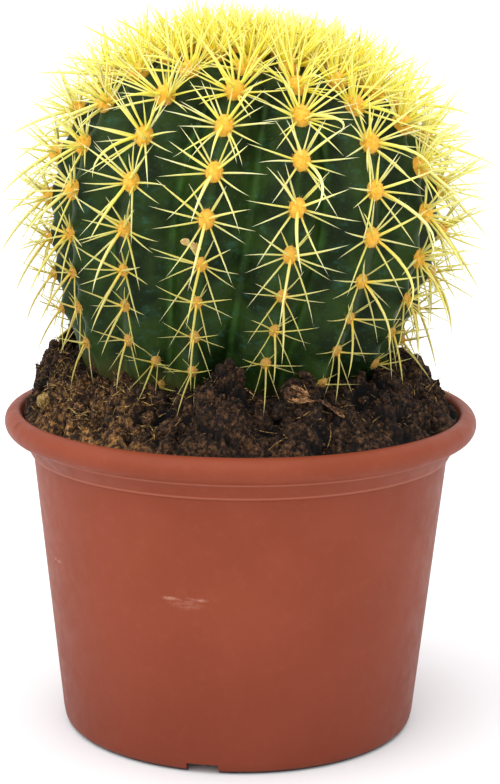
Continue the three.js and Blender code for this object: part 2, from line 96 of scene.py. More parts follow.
def add(tree, kind, *values, out=0, **settings):
    """Adds a node and returns one of its outputs. A kind such as Math.ADD holds the node's operation too.
    The inputs are given in their order, or in a dictionary; each is a value, a hex colour or an output."""
    kind, _, operation = kind.partition(".")
    families = (tree.bl_idname.removesuffix("Tree"), "ShaderNode", "FunctionNode")
    made = tree.nodes.new(next(f for f in families if hasattr(bpy.types, f + kind)) + kind)
    for name, value in (settings | ({"operation": operation} if operation else {})).items():
        setattr(made, name, value)
    given = values[0] if values and isinstance(values[0], dict) else dict(enumerate(values))
    for key, value in given.items():
        if isinstance(value, bpy.types.NodeSocket):
            tree.links.new(value, made.inputs[key])
        else:
            is_colour = isinstance(value, str) and value.startswith("#")
            made.inputs[key].default_value = linear(value) if is_colour else value
    return made.outputs[out]


def object_from(name, points, faces, attributes=None):
    """A mesh object from points in millimetres, faces, and named values for its points."""
    mesh = bpy.data.meshes.new(name)
    mesh.from_pydata((np.asarray(points, float) * MM).tolist(), [], [list(f) for f in faces])
    for label, values in (attributes or {}).items():
        values = np.asarray(values, np.float32)
        vector = values.ndim == 2
        layer = mesh.attributes.new(label, "FLOAT_VECTOR" if vector else "FLOAT", "POINT")
        layer.data.foreach_set("vector" if vector else "value", values.ravel())
    made = bpy.data.objects.new(name, mesh)
    bpy.context.scene.collection.objects.link(made)
    return made


def make_plain(piece):
    """Keeps what a piece's modifiers make as its plain mesh, and removes them."""
    graph = bpy.context.evaluated_depsgraph_get()
    mesh = bpy.data.meshes.new_from_object(piece.evaluated_get(graph), preserve_all_data_layers=True,
                                           depsgraph=graph)
    piece.modifiers.clear()
    piece.data = mesh


def face_out(piece):
    """Turns the faces of closed bodies outwards and shades them smooth."""
    body = bmesh.new()
    body.from_mesh(piece.data)
    bmesh.ops.recalc_face_normals(body, faces=body.faces)
    for face in body.faces:
        face.smooth = True
    body.to_mesh(piece.data)
    body.free()


def dress(piece, slot, *nodes):
    """Sets a piece on the only body, where it stands in for the CAD nodes it hides. The slot is not used.
    """
    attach(piece, "root")
    if nodes:
        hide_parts(*nodes)
    size = (Vector(piece.bound_box[6]) - Vector(piece.bound_box[0])) / MM
    triangles = sum(len(f.vertices) - 2 for f in piece.data.polygons)
    print(f"{piece.name}: {triangles} triangles, {size.x:.0f} x {size.y:.0f} x {size.z:.0f} mm")


# %% [markdown]
# ## Trees that grow repeats
#
# Spines, felt, crumbs and fibres repeat by the thousand, so Geometry Nodes make them. Every tree here
# takes geometry, named sizes and a material, and ends in Realize Instances and Set Material, because an
# export keeps no instances. The modifier's inputs are set by their identifiers before the object is
# evaluated, and the result is kept as a plain mesh.

# %% Helpers that open, close and run a tree
def open_tree(name, *sizes, **others):
    """A geometry tree with named inputs: what adds nodes to it, and the outputs that carry its inputs."""
    tree = bpy.data.node_groups.new(name, "GeometryNodeTree")
    kinds = {"Geometry": "Geometry", **dict.fromkeys(sizes, "Float"), **others, "Material": "Material"}
    for label, kind in kinds.items():
        tree.interface.new_socket(label, in_out="INPUT", socket_type="NodeSocket" + kind)
    tree.interface.new_socket("Geometry", in_out="OUTPUT", socket_type="NodeSocketGeometry")
    start = tree.nodes.new("NodeGroupInput")
    return partial(add, tree), {label: start.outputs[label] for label in kinds}


def close_tree(put, geometry, given, offset=None):
    """Ends a tree: a last push, instances made real, smooth shading, one material. Returns it."""
    if offset:
        geometry = put("SetPosition", {"Geometry": geometry, "Offset": offset})
    real = put("RealizeInstances", geometry)
    painted = put("SetMaterial", {0: put("SetShadeSmooth", real), "Material": given["Material"]})
    tree = painted.id_data
    tree.links.new(painted, tree.nodes.new("NodeGroupOutput").inputs[0])
    print("tree:", tree.name, len(tree.nodes), "nodes")
    return tree


def grow(name, source, tree, material, values):
    """Runs a tree on an object, which becomes the piece as a plain mesh."""
    modifier = source.modifiers.new(tree.name, "NODES")
    modifier.node_group = tree
    values = {**values, "Material": material}
    for socket in tree.interface.items_tree:
        if socket.in_out == "INPUT" and socket.name in values:
            modifier[socket.identifier] = values[socket.name]
    make_plain(source)
    source.name = source.data.name = name
    return source


# %% [markdown]
# ## The camera
#
# The photograph looks a little down on the pot from about 0.8 m, with a long lens. The camera comes
# first, so that every later choice can be judged in the same view.

# %% Place the camera
IMAGE = (500, 784)
LENS_PIXELS = 2201.0
CAMERA = {"distance": 0.78003, "height": 0.28789, "down": 12.03, "aside": 0.24, "roll": 0.58}

scene = bpy.context.scene
camera_data = bpy.data.cameras.new("camera")
camera_data.lens = LENS_PIXELS * camera_data.sensor_width / max(IMAGE)
camera = bpy.data.objects.new("camera", camera_data)
scene.collection.objects.link(camera)
scene.camera = camera
down, aside, roll = (radians(CAMERA[k]) for k in ("down", "aside", "roll"))
ahead = Vector((sin(aside) * cos(down), cos(aside) * cos(down), -sin(down)))
right = Vector((cos(aside), -sin(aside), 0))
above = right.cross(ahead)
right, above = (right * cos(roll) + above * sin(roll),
                above * cos(roll) - right * sin(roll))
camera.matrix_world = (Matrix.Translation((0, -CAMERA["distance"], CAMERA["height"]))
                       @ Matrix((right, above, -ahead)).transposed().to_4x4())
print(f"camera: {camera_data.lens:.1f} mm lens, {CAMERA['distance']} m from the pot's middle")

# %% [markdown]
# ## The rule of the plant
#
# A cactus of this kind grows by rule. The crests of its ribs follow one curve from the crown to the root,
# made of two quarters of a rounded curve. Felt pads sit on each crest at known distances from the crown,
# and each rib's row is shifted against the next, so the pads form a spiral. The solid model was made from
# these same values, so finer spines drawn from the same rule and the same seeded draws stand where its
# spines stand.

# %% Values of the plant
RADIUS, EQUATOR, RISE, DROP = 68.8, 14, 57.6, 110
CROWN_POWER, ROOT_POWER = 2.4, 1.54
PIVOT = Vector((-1.4, -0.8, 171.2))
LEAN_TO_X, LEAN_TO_Y = 7.8, 3.8
RIBS, RIB_BEARING, RIB_DEPTH, RIB_POWER = 15, 13.5, 9, 1.5
CROWN_ARC = 36
PAD_ARCS = [4, 18, 33, 48, 62.4, 79, 94.4, 110, 123.8, 136.2, 148.8, 162.8]
RIB_SHIFTS = [0.9, 0.33, 0.74, 0.14, 0.58, 0.02, 0.46, 0.9, 0.34, 0.78, 0.22, 0.65, 0.32, 0.9, 0.41]
LAST_PAD_ARC = 155.5
CROWN_EDGE = (33.4, 39.5)
PLANT = Matrix.Translation(PIVOT) @ Euler((-radians(LEAN_TO_Y), 0, 0)).to_matrix().to_4x4() \
    @ Euler((0, radians(LEAN_TO_X), 0)).to_matrix().to_4x4()


def crest(t):
    """Radius and height of the crest line at polar angle t, 0 at the crown and pi at the root."""
    c, s = cos(t), abs(sin(t))
    power, reach = (2 / CROWN_POWER, RISE) if c > 0 else (2 / ROOT_POWER, DROP)
    return RADIUS * s ** power, EQUATOR + copysign(reach * abs(c) ** power, c)


ANGLES = np.linspace(0, pi, 1441)
LINE = np.array([crest(t) for t in ANGLES])
ARCS = np.concatenate([[0], np.cumsum(np.hypot(*np.diff(LINE, axis=0).T))])


def on_crest(arc):
    """Radius, height and outward normal of the crest line at a distance from the crown."""
    t = float(np.interp(arc, ARCS, ANGLES))
    (r0, z0), (r1, z1) = crest(max(t - 1e-3, 0)), crest(min(t + 1e-3, pi))
    length = hypot(r1 - r0, z1 - z0)
    return (*crest(t), (z0 - z1) / length, (r1 - r0) / length)


def ramp(x, a, b):
    """Rises smoothly from 0 at a to 1 at b."""
    s = min(1, max(0, (x - a) / (b - a)))
    return s * s * (3 - 2 * s)


print(f"crest line: {ARCS[-1]:.0f} mm from crown to root, {2 * RADIUS:.0f} mm across")

# %% [markdown]
# ## Where the pads and spines stand
#
# Each pad has a frame of its own: x across the rib, y up the rib, z out from the skin. A spine is a
# bearing from the top of the pad, a lift from the skin and a length, each strayed by a seeded draw, so
# that every run gives the same plant. Spines that would run into the soil or the rim are bent up, as
# those of the real plant are.

# %% Pads, one frame each
def drawer(series):
    """A repeatable series of draws, each from -1 to 1."""
    n = series * 67

    def draw():
        nonlocal n
        n += 1
        s = sin(n * 12.9898 + 4.1) * 43758.5453
        return 2 * (s - s // 1) - 1
    return draw


def around(radius, bearing, z=0.0):
    """A point about +Z, its bearing counted from the front towards the right."""
    return radius * sin(bearing), -radius * cos(bearing), z


def pad_frame(bearing, arc):
    radius, z, out_r, out_z = on_crest(arc)
    across = Vector((cos(bearing), sin(bearing), 0))
    out = Vector(around(out_r, bearing, out_z))
    frame_at = Matrix((across, out.cross(across), out)).transposed().to_4x4()
    return PLANT @ Matrix.Translation(around(radius, bearing, z)) @ frame_at


pads = []
for rib in range(RIBS):
    for row in range(len(PAD_ARCS) - 1):
        arc = PAD_ARCS[row] + RIB_SHIFTS[rib] * (PAD_ARCS[row + 1] - PAD_ARCS[row])
        if CROWN_EDGE[0] < arc < CROWN_EDGE[1]:
            arc = min(CROWN_EDGE, key=lambda edge: abs(edge - arc))
        bearing = radians(RIB_BEARING + rib * 360 / RIBS)
        if arc < LAST_PAD_ARC:
            pads.append({"rib": rib, "row": row, "arc": arc, "frame": pad_frame(bearing, arc)})
OLD_PADS = [(-27, 156, 4.0), (-25, 165, 3.0)]
for number, (bearing, arc, inset) in enumerate(OLD_PADS):
    flank = pad_frame(radians(bearing), arc) @ Matrix.Translation((0, 0, -inset))
    pads.append({"rib": 13, "row": len(PAD_ARCS) + number, "arc": arc, "frame": flank})
print(len(pads), "pads on", RIBS, "ribs")

# %% The soil's surface, which the lowest spines bend away from
POT_HEIGHT, POT_RADIUS, RIM_WIDTH = 117, 86.6, 1.3
SOIL_EDGE, SOIL_RADIUS, SOIL_MOUND, MOUND_WIDTH, SOIL_BLEND = POT_HEIGHT - 3.2, 78.3, 17, 19, 4
SIDE_DROP, RELIEF = 1.6, 1.6
CLODS = [(-69, 24, 14, 13), (-70.5, 1, 10, 7.5), (65, 29, 10, 3.5), (49, -44, 12, 6), (21, -65, 9, 8),
         (-6, -67, 10, 12), (-42, -52, 10, 4), (5, 68, 11, 7)]


def soil_height(x, y):
    """A ring of soil heaped against the stem, with clods, a dip at the sides and a soft relief."""
    inward = SOIL_RADIUS - hypot(x, y)
    blend = min(1, max(0, inward / SOIL_BLEND))
    z = SOIL_EDGE + SOIL_MOUND * ramp(inward, -SOIL_BLEND, MOUND_WIDTH)
    for cx, cy, radius, height in CLODS:
        z += height * max(0, 1 - (hypot(x - cx, y - cy) / radius) ** 4) * blend
    z -= SIDE_DROP * ramp(abs(x), 36, 66) * (1 - ramp(inward, 4, 13)) * blend
    relief = cos(0.53 * x) * sin(0.61 * y) + 0.7 * sin(0.9 * x - 0.77 * y)
    return z + RELIEF * relief * blend


def ground(x, y):
    """The height of what a spine would run into: the soil, the rim, or the floor beside the pot."""
    radius = hypot(x, y)
    if radius > POT_RADIUS:
        return 0
    return POT_HEIGHT if radius > SOIL_RADIUS - RIM_WIDTH else soil_height(x, y)


print(f"soil in front of the stem: {soil_height(0, -66):.0f} mm up")

# %% [markdown]
# ## Spines
#
# A pad carries radial spines that spread low over the skin, and three or four stouter centrals, the
# lowest the longest. Young ones near the crown stand up steeply, old ones near the soil are short and
# tan. They could be curves with a bevel, but a tree of nodes is lighter: it sets one tapered cone on each
# point, aims it, scales it, and bows it by a field. The points carry aim, length, girth and bow as
# attributes.

# %% What a pad carries, each spine as bearing, lift and length
RADIAL = {"length": 18.5, "lift": 20, "stray": 7, "upward": 0.74, "downward": 1.26, "vary": 0.08}
CENTRALS, LOWEST = [(60, 50, 21), (180, 37, 26), (300, 50, 21)], 1
YOUNG_SPINE = {"length": 19.5, "lift": 69, "stray": 17, "count": 32, "layers": 3, "lower": 13}
GIRTHS = {"radial": 0.38, "extra": 0.35, "central": 0.48, "lowest": 0.59, "young": 0.5}
# Extra spines fill a pad out. The fourth number is the distance from the crown past which none grows.
EXTRAS = [(2, 36, 13, 84), (112, 14, 15, 122), (247, 15, 15.5, 122), (338, 46, 16, 66), (24, 30, 14, 140),
          (150, 24, 17, 80), (210, 22, 17, 80), (85, 30, 18, 72), (275, 28, 18, 72), (312, 26, 16, 100),
          (46, 24, 17, 70), (175, 56, 20, 64), (5, 50, 20, 66), (125, 42, 20, 62), (235, 45, 20, 62),
          (325, 62, 21, 58), (35, 62, 21, 58), (272, 56, 20, 76), (88, 56, 20, 76), (180, 66, 20, 54)]
SIDE_EXTRAS = [(0, 70, 17, 125), (110, 60, 18, 125), (250, 60, 18, 125), (45, 54, 18, 110),
               (315, 54, 18, 110), (0, 64, 20, 84), (120, 56, 20, 84), (240, 56, 20, 84), (60, 70, 20, 84),
               (300, 70, 20, 84)]
EXTRA_RING = 1.9
FRONT_RIBS, LONG_RIBS, LONGER = (14, 0, 1), (2, 3, 4, 5), 1.2
# The lowest centrals of a few pads are hooked to one side, here by rib and row.
HOOKED = {(0, 3): 0.20, (0, 4): 0.12, (0, 5): -0.08, (1, 4): 0.12, (1, 5): 0.26, (1, 6): 0.22,
          (1, 7): 0.15, (13, 4): -0.12}
SPINE_ROOT, CLEARANCE, STEEPEST, STEEPER = 1.1, 1.6, 70, 9


def on_pad(radius, degrees, z):
    """A point or direction in a pad's frame, its bearing counted from the top of the pad."""
    bearing = radians(degrees)
    return Vector((radius * sin(bearing), radius * cos(bearing), z))


def cleared(pad, base, bearing, lift, length):
    """The tip of a spine, bent up until it clears the soil and the rim. It is None for a spine that
    never does, or that is drawn steeper than STEEPEST from the start, and such a spine is left out."""
    while lift <= STEEPEST:
        slope = radians(lift)
        tip = base + on_pad(cos(slope), bearing, sin(slope)) * length
        places = [pad["frame"] @ base.lerp(tip, share) for share in (0.35, 0.6, 0.8, 1)]
        if all(p.z > ground(p.x, p.y) + CLEARANCE for p in places):
            return tip
        lift += STEEPER
    return None


def facet_middle(kind, i):
    """Where the solid model's spine number i stands on its pad, which is a low star of facets."""
    edge = [on_pad(2.45, 60 * k, 0.3) for k in (i, i + 1)]
    inner = [on_pad(1.25, 120 * k, 1.7) for k in ((i + 1) // 2, i, i + 1)]
    if kind == "edge":
        return (edge[0] + edge[1] + inner[0]) / 3
    return (inner[1] + inner[2] + Vector((0, 0, 2.1))) / 3


spines = {"radial": [], "central": [], "young": []}


def plan_spine(kind, pad, base, bearing, lift, length, girth, bow, draw, hook=0):
    tip = cleared(pad, base, bearing, lift, length)
    if tip is None:
        return
    root = base - (tip - base).normalized() * SPINE_ROOT
    start, end = pad["frame"] @ root, pad["frame"] @ tip
    side = (Vector((draw(), draw(), 0)) * 0.025 + Vector((hook, 0, 0))) * length
    spines[kind].append({
        "place": start, "aim": (end - start).normalized(), "length": (end - start).length, "girth": girth,
        "bow": pad["frame"].to_3x3() @ (Vector((0, 0, bow * length)) + side), "age": pad["arc"],
        "tint": draw()})


print(len(EXTRAS), "extra spines on a pad, and", len(SIDE_EXTRAS), "more at the sides and the back")

# %% Plan every spine
for pad in pads:
    arc, series = pad["arc"], pad["rib"] * len(PAD_ARCS) + pad["row"]
    draw, extra = drawer(series), drawer(series + 2000)
    in_front = pad["rib"] in FRONT_RIBS
    size = 1 - 0.4 * ramp(arc, 100, 158)  # old spines are shorter
    thin = 1 - (0.2 if in_front else 0.06) * ramp(arc, 84, 130)  # and thinner
    young = 6 * (1 - ramp(arc, CROWN_ARC, 70))  # while young ones are lifted more
    if arc <= CROWN_EDGE[0]:
        for i in range(YOUNG_SPINE["count"]):
            bearing = 360 * i / YOUNG_SPINE["count"] + 14 * extra()
            low = (i % YOUNG_SPINE["layers"]) * YOUNG_SPINE["lower"]
            lift = YOUNG_SPINE["lift"] - low + YOUNG_SPINE["stray"] * extra()
            length = YOUNG_SPINE["length"] * (1 + 0.15 * extra()) * (0.78 + 0.22 * ramp(arc, 4, 18))
            plan_spine("young", pad, on_pad(1.4, bearing, 1.2), bearing, lift, length,
                       GIRTHS["young"] + 0.07 * extra(), 0.03 * extra(), extra)
        continue
    for i in range(6):
        bearing = (i + 0.5) * 60 + RADIAL["stray"] * draw()
        down_share = (1 - cos(radians(bearing))) / 2
        upward = RADIAL["upward"] * (1 - 0.45 * ramp(arc, 92, 118))
        reach = upward + (RADIAL["downward"] - upward) * down_share
        reach += RADIAL["vary"] * draw()
        lift = RADIAL["lift"] + RADIAL["stray"] * draw() + young
        plan_spine("radial", pad, facet_middle("edge", i), bearing, lift, RADIAL["length"] * size * reach,
                   GIRTHS["radial"] * size * thin, 0.02 + 0.025 * extra(), extra)
    for i, (bearing, lift, length) in enumerate(CENTRALS):
        lowest = i == LOWEST
        bearing += 11 * draw()
        lift += 6 * draw() + young / 2 - (0 if lowest else 18 * ramp(arc, 84, 100))
        length *= size * (1 + 0.07 * draw())
        bow = 0.05 + 0.05 * extra() if lowest else 0.02 + 0.03 * extra()
        hook = HOOKED.get((pad["rib"], pad["row"]), 0) if lowest else 0
        girth = GIRTHS["lowest" if lowest else "central"] * size * (0.3 + 0.7 * thin)
        plan_spine("central", pad, facet_middle("top", i), bearing - 60 * hook, lift,
                   length * (1 + abs(hook) / 2), girth, bow + abs(hook) / 2, extra, hook)
    reach = LONGER if pad["rib"] in LONG_RIBS else 1
    beside = [] if in_front else [(b, l, s * reach, last) for b, l, s, last in SIDE_EXTRAS]
    for bearing, lift, length, last_arc in EXTRAS + beside:
        if arc < last_arc:
            base = on_pad(EXTRA_RING * size, bearing, 0.7)
            plan_spine("radial", pad, base, bearing + 9 * extra(), lift + 7 * extra() + young,
                       length * size * (1 + 0.1 * extra()), GIRTHS["extra"] * size * thin,
                       0.02 + 0.03 * extra(), extra)
print({kind: len(found) for kind, found in spines.items()}, "spines")

# %% A tree that sets a tapered, bowed spine on each point
def spine_tree():
    put, given = open_tree("tapered_spines", "Fullness", Sides="Int", Rings="Int")
    cone = put("MeshCone", {"Vertices": given["Sides"], "Side Segments": given["Rings"], "Radius Top": 0.0,
                            "Radius Bottom": 1.0, "Depth": 1.0})
    x, y, along = put("SeparateXYZ", put("InputPosition")).node.outputs
    marked = put("StoreNamedAttribute", {"Geometry": cone, "Name": "along", "Value": along})
    swell = put("Math.MULTIPLY_ADD", along, given["Fullness"], 1.0)
    swollen = put("CombineXYZ", put(TIMES, x, swell), put(TIMES, y, swell), along)
    girth = put(CARRIED, "girth")
    aim = put(CARRIED, "aim", **VECTOR)
    placed = put("InstanceOnPoints", {
        "Points": given["Geometry"],
        "Instance": put("SetPosition", {"Geometry": marked, "Position": swollen}),
        "Rotation": put("AlignRotationToVector", {"Vector": aim}, axis="Z"),
        "Scale": put("CombineXYZ", girth, girth, put(CARRIED, "length"))})
    share = put(CARRIED, "along")
    arch = put(TIMES, share, put(MINUS, 1.0, share))
    bow = put("VectorMath.SCALE", {0: put(CARRIED, "bow", **VECTOR), "Scale": arch})
    return close_tree(put, put("RealizeInstances", placed), given, bow)


SPINES = spine_tree()


def grow_spines(name, plans, material, sides, rings, fullness):
    """A piece of spines from a list of plans."""
    arch = 4 * MM
    # A rise of 1 keeps the fibres, which use the peat material, out of its painted crevice shade.
    points = object_from(name + "_points", [s["place"] for s in plans], [], {
        "aim": [tuple(s["aim"]) for s in plans], "length": [s["length"] * MM for s in plans],
        "girth": [s["girth"] * MM for s in plans], "bow": [tuple(s["bow"] * arch) for s in plans],
        "age": [s["age"] for s in plans], "tint": [s["tint"] for s in plans], "rise": [1.0] * len(plans)})
    return grow(name, points, SPINES, material, {"Sides": sides, "Rings": rings, "Fullness": fullness})


# %% [markdown]
# ## Finishes of the plant
#
# Spines are horn: dense, a little waxy, and thin enough for light to warm them from inside. They are
# orange where they leave the felt, pale yellow along the shaft, and tan on old wood. The tree of spines
# leaves the attributes along, age and tint on each point, so the material can follow every single
# spine without an image.

# %% A material to start from, and what lays colours over each other
SMOOTH = {"interpolation_type": "SMOOTHSTEP"}
BLEND = {"data_type": "RGBA", "out": 2}


def new_material(name, **sockets):
    """A material whose even values sit on its shader's own sockets, and what adds nodes to it."""
    material = bpy.data.materials.new(name)
    material.use_nodes = True
    for label, value in sockets.items():
        material.node_tree.nodes["Principled BSDF"].inputs[label.replace("_", " ")].default_value = value
    return material, partial(add, material.node_tree)


def tinted(put, colour, shade, value, low, high, share=None):
    """A colour, with a shade laid over it as a value goes from low to high, as thick as the share."""
    mask = put("MapRange", value, low, high, **SMOOTH)
    if share is not None:
        mask = put(TIMES, mask, share)
    return put("Mix", {0: mask, 6: colour, 7: shade}, **BLEND)


def grain(put, size, detail=3.0, roughness=0.55, stretch=(1, 1, 1)):
    """Noise on Object coordinates whose lumps are about size millimetres wide."""
    place = put("VectorMath.MULTIPLY", put("TexCoord", out=3), stretch)
    return put("TexNoise", {"Vector": place, "Scale": 1 / (size * MM), "Detail": detail,
                            "Roughness": roughness})


def coated(material, put, colour, height=None, depth=0, roughness=None):
    """Gives a material its colour, a relief as many millimetres deep as height is 1, and its roughness."""
    coats = {"Base Color": colour, "Roughness": roughness}
    if height:
        coats["Normal"] = put("Bump", {"Height": height, "Distance": depth * MM, "Strength": 1.0})
    for label, value in coats.items():
        if value:
            material.node_tree.links.new(value, material.node_tree.nodes["Principled BSDF"].inputs[label])
    print("material:", material.name)
    return material


# %% Spine horn, in a grown and a young finish
def spine_material(name, shaft, pale, root, old):
    """Horn lets light in a little, which warms the shaft, and is glossier than felt."""
    material, put = new_material(name, Roughness=0.42, IOR=1.54, Subsurface_Weight=0.6,
                                 Subsurface_Scale=0.003, Subsurface_Radius=(1.0, 0.85, 0.35))
    along, age, tint = (put("Attribute", attribute_name=name, out=2) for name in ("along", "age", "tint"))
    paleness = put("Math.MULTIPLY_ADD", along, 0.7, -0.12)
    paleness = put("Math.MULTIPLY_ADD", put("MapRange", tint, -1.0, 1.0, **SMOOTH), 0.5, paleness)
    colour = put("Mix", {0: paleness, 6: shaft, 7: pale}, **BLEND)
    fresh = put("Mix", {0: paleness, 6: "#F6DF34", 7: "#FBF184"}, **BLEND)
    colour = tinted(put, colour, fresh, age, 74.0, 44.0)
    colour = tinted(put, colour, old, age, 66.0, 150.0)
    return coated(material, put, tinted(put, colour, root, along, 0.24, 0.05))


SPINE_HORN = spine_material("spine_horn_grown", "#E6D850", "#F4F0AA", "#E8B83C", "#A8994C")
YOUNG_HORN = spine_material("spine_horn_young", "#FFF05A", "#FFF696", "#F8CC48", "#FFF05A")

# %% Grow the spines
STEM_NODE, CROWN_NODE = "stem_with_spines", "crown_of_young_spines"
for name, kind, horn, shape, slot, node in (
        ("radial_spines", "radial", SPINE_HORN, (5, 6, 1.5), "cactus_stem", STEM_NODE),
        ("central_spines", "central", SPINE_HORN, (6, 8, 1.4), "cactus_stem", STEM_NODE),
        ("young_spines", "young", YOUNG_HORN, (5, 5, 1.3), "young_spines", CROWN_NODE)):
    dress(grow_spines(name, spines[kind], horn, *shape), slot, node)

# %% [markdown]
# ## The ribbed stem
#
# The globe is pleated like a paper lantern: broad faces fold into sharp valleys between fifteen crests,
# and a crest swells under each pad and dips a little between two pads. A sculpt could do it, but the rule
# is short: a grid is wrapped round the crest line, each row takes its radius and normal from the line,
# and the skin sinks from crest to valley. Near a pad the skin lifts again, by how close the pad's point
# is.

# %% A tree that wraps a ribbed skin round the crest line
def rib_tree():
    put, given = open_tree("ribbed_skin", "Ribs", "First Rib", "Power", "Dent", "Swell", "Swell Reach",
                           Pads="Object", Around="Int", Rows="Int")
    grid = put("MeshGrid", {"Size X": 1.0, "Size Y": 1.0, "Vertices X": given["Around"],
                            "Vertices Y": given["Rows"]})
    x, y, _ = put("SeparateXYZ", put("InputPosition")).node.outputs
    last_row = put(MINUS, given["Rows"], 1.0)
    row = put("Math.ROUND", put(TIMES, put(PLUS, y, 0.5), last_row))
    turn = put(PLUS, x, 0.5)

    def sampled(label, **kind):
        """What the crest line's point of this row carries."""
        value = put(CARRIED, label, **kind)
        return put("SampleIndex", {"Geometry": given["Geometry"], "Value": value, "Index": row}, **kind)

    line = put("SeparateXYZ", sampled("line", **VECTOR)).node
    out = put("SeparateXYZ", sampled("out", **VECTOR)).node
    depth = sampled("depth")
    phase = put(MINUS, put(TIMES, turn, given["Ribs"]), given["First Rib"])
    share = put(TIMES, put("Math.PINGPONG", phase, 0.5), 2.0)
    sink = put(TIMES, depth, put("Math.POWER", share, given["Power"]))
    bearing = put(TIMES, turn, 2 * pi)

    def wrapped(deep):
        """Where the skin lies when it is sunk this deep below the crest line."""
        radius = put(MINUS, line.outputs["X"], put(TIMES, deep, out.outputs["X"]))
        inward = put(TIMES, put(TIMES, radius, put("Math.COSINE", bearing)), -1.0)
        height = put(MINUS, line.outputs["Z"], put(TIMES, deep, out.outputs["Z"]))
        return put("CombineXYZ", put(TIMES, radius, put("Math.SINE", bearing)), inward, height)

    pads_at = put("ObjectInfo", {"Object": given["Pads"]}).node.outputs["Geometry"]
    near = put("Proximity", {"Geometry": pads_at, "Sample Position": wrapped(sink)}, out=1,
               target_element="POINTS")
    closeness = put(OVER, near, given["Swell Reach"])
    fading = put("Math.EXPONENT", put(TIMES, put(TIMES, closeness, closeness), -1.0))
    dent = put(TIMES, put(TIMES, depth, given["Dent"]), put(MINUS, 1.0, share))
    swell = put(TIMES, put(PLUS, given["Swell"], dent), fading)
    skin = grid
    for label, value in (("valley", share), ("arc", sampled("arc"))):
        skin = put("StoreNamedAttribute", {"Geometry": skin, "Name": label, "Value": value})
    sunk = put(MINUS, put(PLUS, sink, dent), swell)
    skin = put("SetPosition", {"Geometry": skin, "Position": wrapped(sunk)})
    return close_tree(put, put("MergeByDistance", {"Geometry": skin, "Distance": 0.01 * MM}), given)


RIBBED = rib_tree()

# %% [markdown]
# The skin is waxy and dark green, and the fold of each valley is paler, where new skin stretches. The
# attribute valley runs from 0 on a crest to 1 in the fold, so the stripe is a narrow band near 1. Teal
# patches on the skin are painted reflections of the bright surround. Wax gives a soft gloss, and the
# oldest skin at the soil turns to cork.

# %% Waxy cactus skin
def skin_material():
    material, put = new_material("cactus_skin_waxy", Roughness=0.42, IOR=1.42, Specular_IOR_Level=0.14)
    valley, arc = (put("Attribute", attribute_name=label, out=2) for label in ("valley", "arc"))
    # Teal patches painted on as reflections: a painted sheen.
    painted_sheen = grain(put, 6, detail=4.0, roughness=0.7, stretch=(1, 1, 1.6))
    patchy = put(TIMES, put("MapRange", grain(put, 9), 0.3, 0.7, **SMOOTH), 0.4)
    colour = tinted(put, "#111F07", "#273B13", grain(put, 14), 0.35, 0.65)
    for shade, value, low, high, share in (
            ("#335F50", painted_sheen, 0.52, 0.8, 0.5), ("#3C6A22", valley, 0.82, 1.0, patchy),
            ("#3F5E2A", valley, 0.16, 0.0, 0.3), ("#6A5A38", arc, 156.0, 176.0, 0.7),
            ("#4F6E38", grain(put, 0.9, detail=1.0), 0.68, 0.76, 0.3)):
        colour = tinted(put, colour, shade, value, low, high, share)
    return coated(material, put, colour, grain(put, 1.6, detail=4.0), 0.25)


SKIN = skin_material()

# %% Wrap the skin
AROUND, ROWS, ROOT_ROWS = RIBS * 18 + 1, 150, 12
row_arcs = np.concatenate([np.linspace(0, 178, ROWS - ROOT_ROWS), np.linspace(183, ARCS[-1], ROOT_ROWS)])
rows = np.array([on_crest(arc) for arc in row_arcs])
rows[0, 0] = rows[-1, 0] = 0
depths = [RIB_DEPTH * ramp(a, 6, 70) * (1 - ramp(a, 150, 190)) for a in row_arcs]
crest_points = object_from("crest_points", rows[:, [0, 0, 1]] * [1, 0, 1], [], {
    "line": rows[:, [0, 0, 1]] * [MM, 0, MM], "out": rows[:, [2, 2, 3]] * [1, 0, 1],
    "depth": np.array(depths) * MM, "arc": row_arcs})
upright = PLANT.inverted()
under_pads = [p["frame"].translation - p["frame"].col[2].to_3d() * 1.5 for p in pads]
pad_points = object_from("pad_points", [upright @ place for place in under_pads], [])
stem = grow("cactus_stem_skin", crest_points, RIBBED, SKIN, {
    "Pads": pad_points, "Ribs": float(RIBS), "First Rib": RIB_BEARING * RIBS / 360, "Power": RIB_POWER,
    "Around": AROUND, "Rows": ROWS, "Dent": 0.12, "Swell": 1.3 * MM, "Swell Reach": 4.6 * MM})
bpy.data.objects.remove(pad_points)
in_metres = Matrix.Diagonal((MM, MM, MM, 1))
stem.data.transform(in_metres @ PLANT @ in_metres.inverted())
face_out(stem)
dress(stem, "cactus_stem", STEM_NODE)

# %% [markdown]
# ## Felt pads
#
# Each pad is a cushion of short wool, from which the spines grow. Young pads are golden and plump, old
# ones grey tan and worn small. One tree sets a lumpy cushion on each point, and a second covers any mesh
# with short hairs, each leaning a little off the surface, which gives the fuzzy edge that wool has
# against a dark skin. Real wool is too fine to show in the render, so its hairs are drawn about four
# times as thick.

# %% Trees for the cushions and the wool
def set_balls(put, given, subdivisions):
    """A ball on each point, turned and stretched by what the point carries."""
    return put("RealizeInstances", put("InstanceOnPoints", {
        "Points": given["Geometry"],
        "Instance": put("MeshIcoSphere", {"Radius": 1.0, "Subdivisions": subdivisions}),
        "Rotation": put("EulerToRotation", put(CARRIED, "turn", **VECTOR)),
        "Scale": put(CARRIED, "extent", **VECTOR)}))


def cushion_tree():
    put, given = open_tree("cushions", "Lump Size", "Lump Height")
    lumps = put("TexNoise", {"Scale": put(OVER, 1.0, given["Lump Size"]), "Detail": 3.0})
    height = put(TIMES, put(MINUS, lumps, 0.5), given["Lump Height"])
    push = put("VectorMath.SCALE", {0: put("InputNormal"), "Scale": height})
    return close_tree(put, set_balls(put, given, 2), given, push)


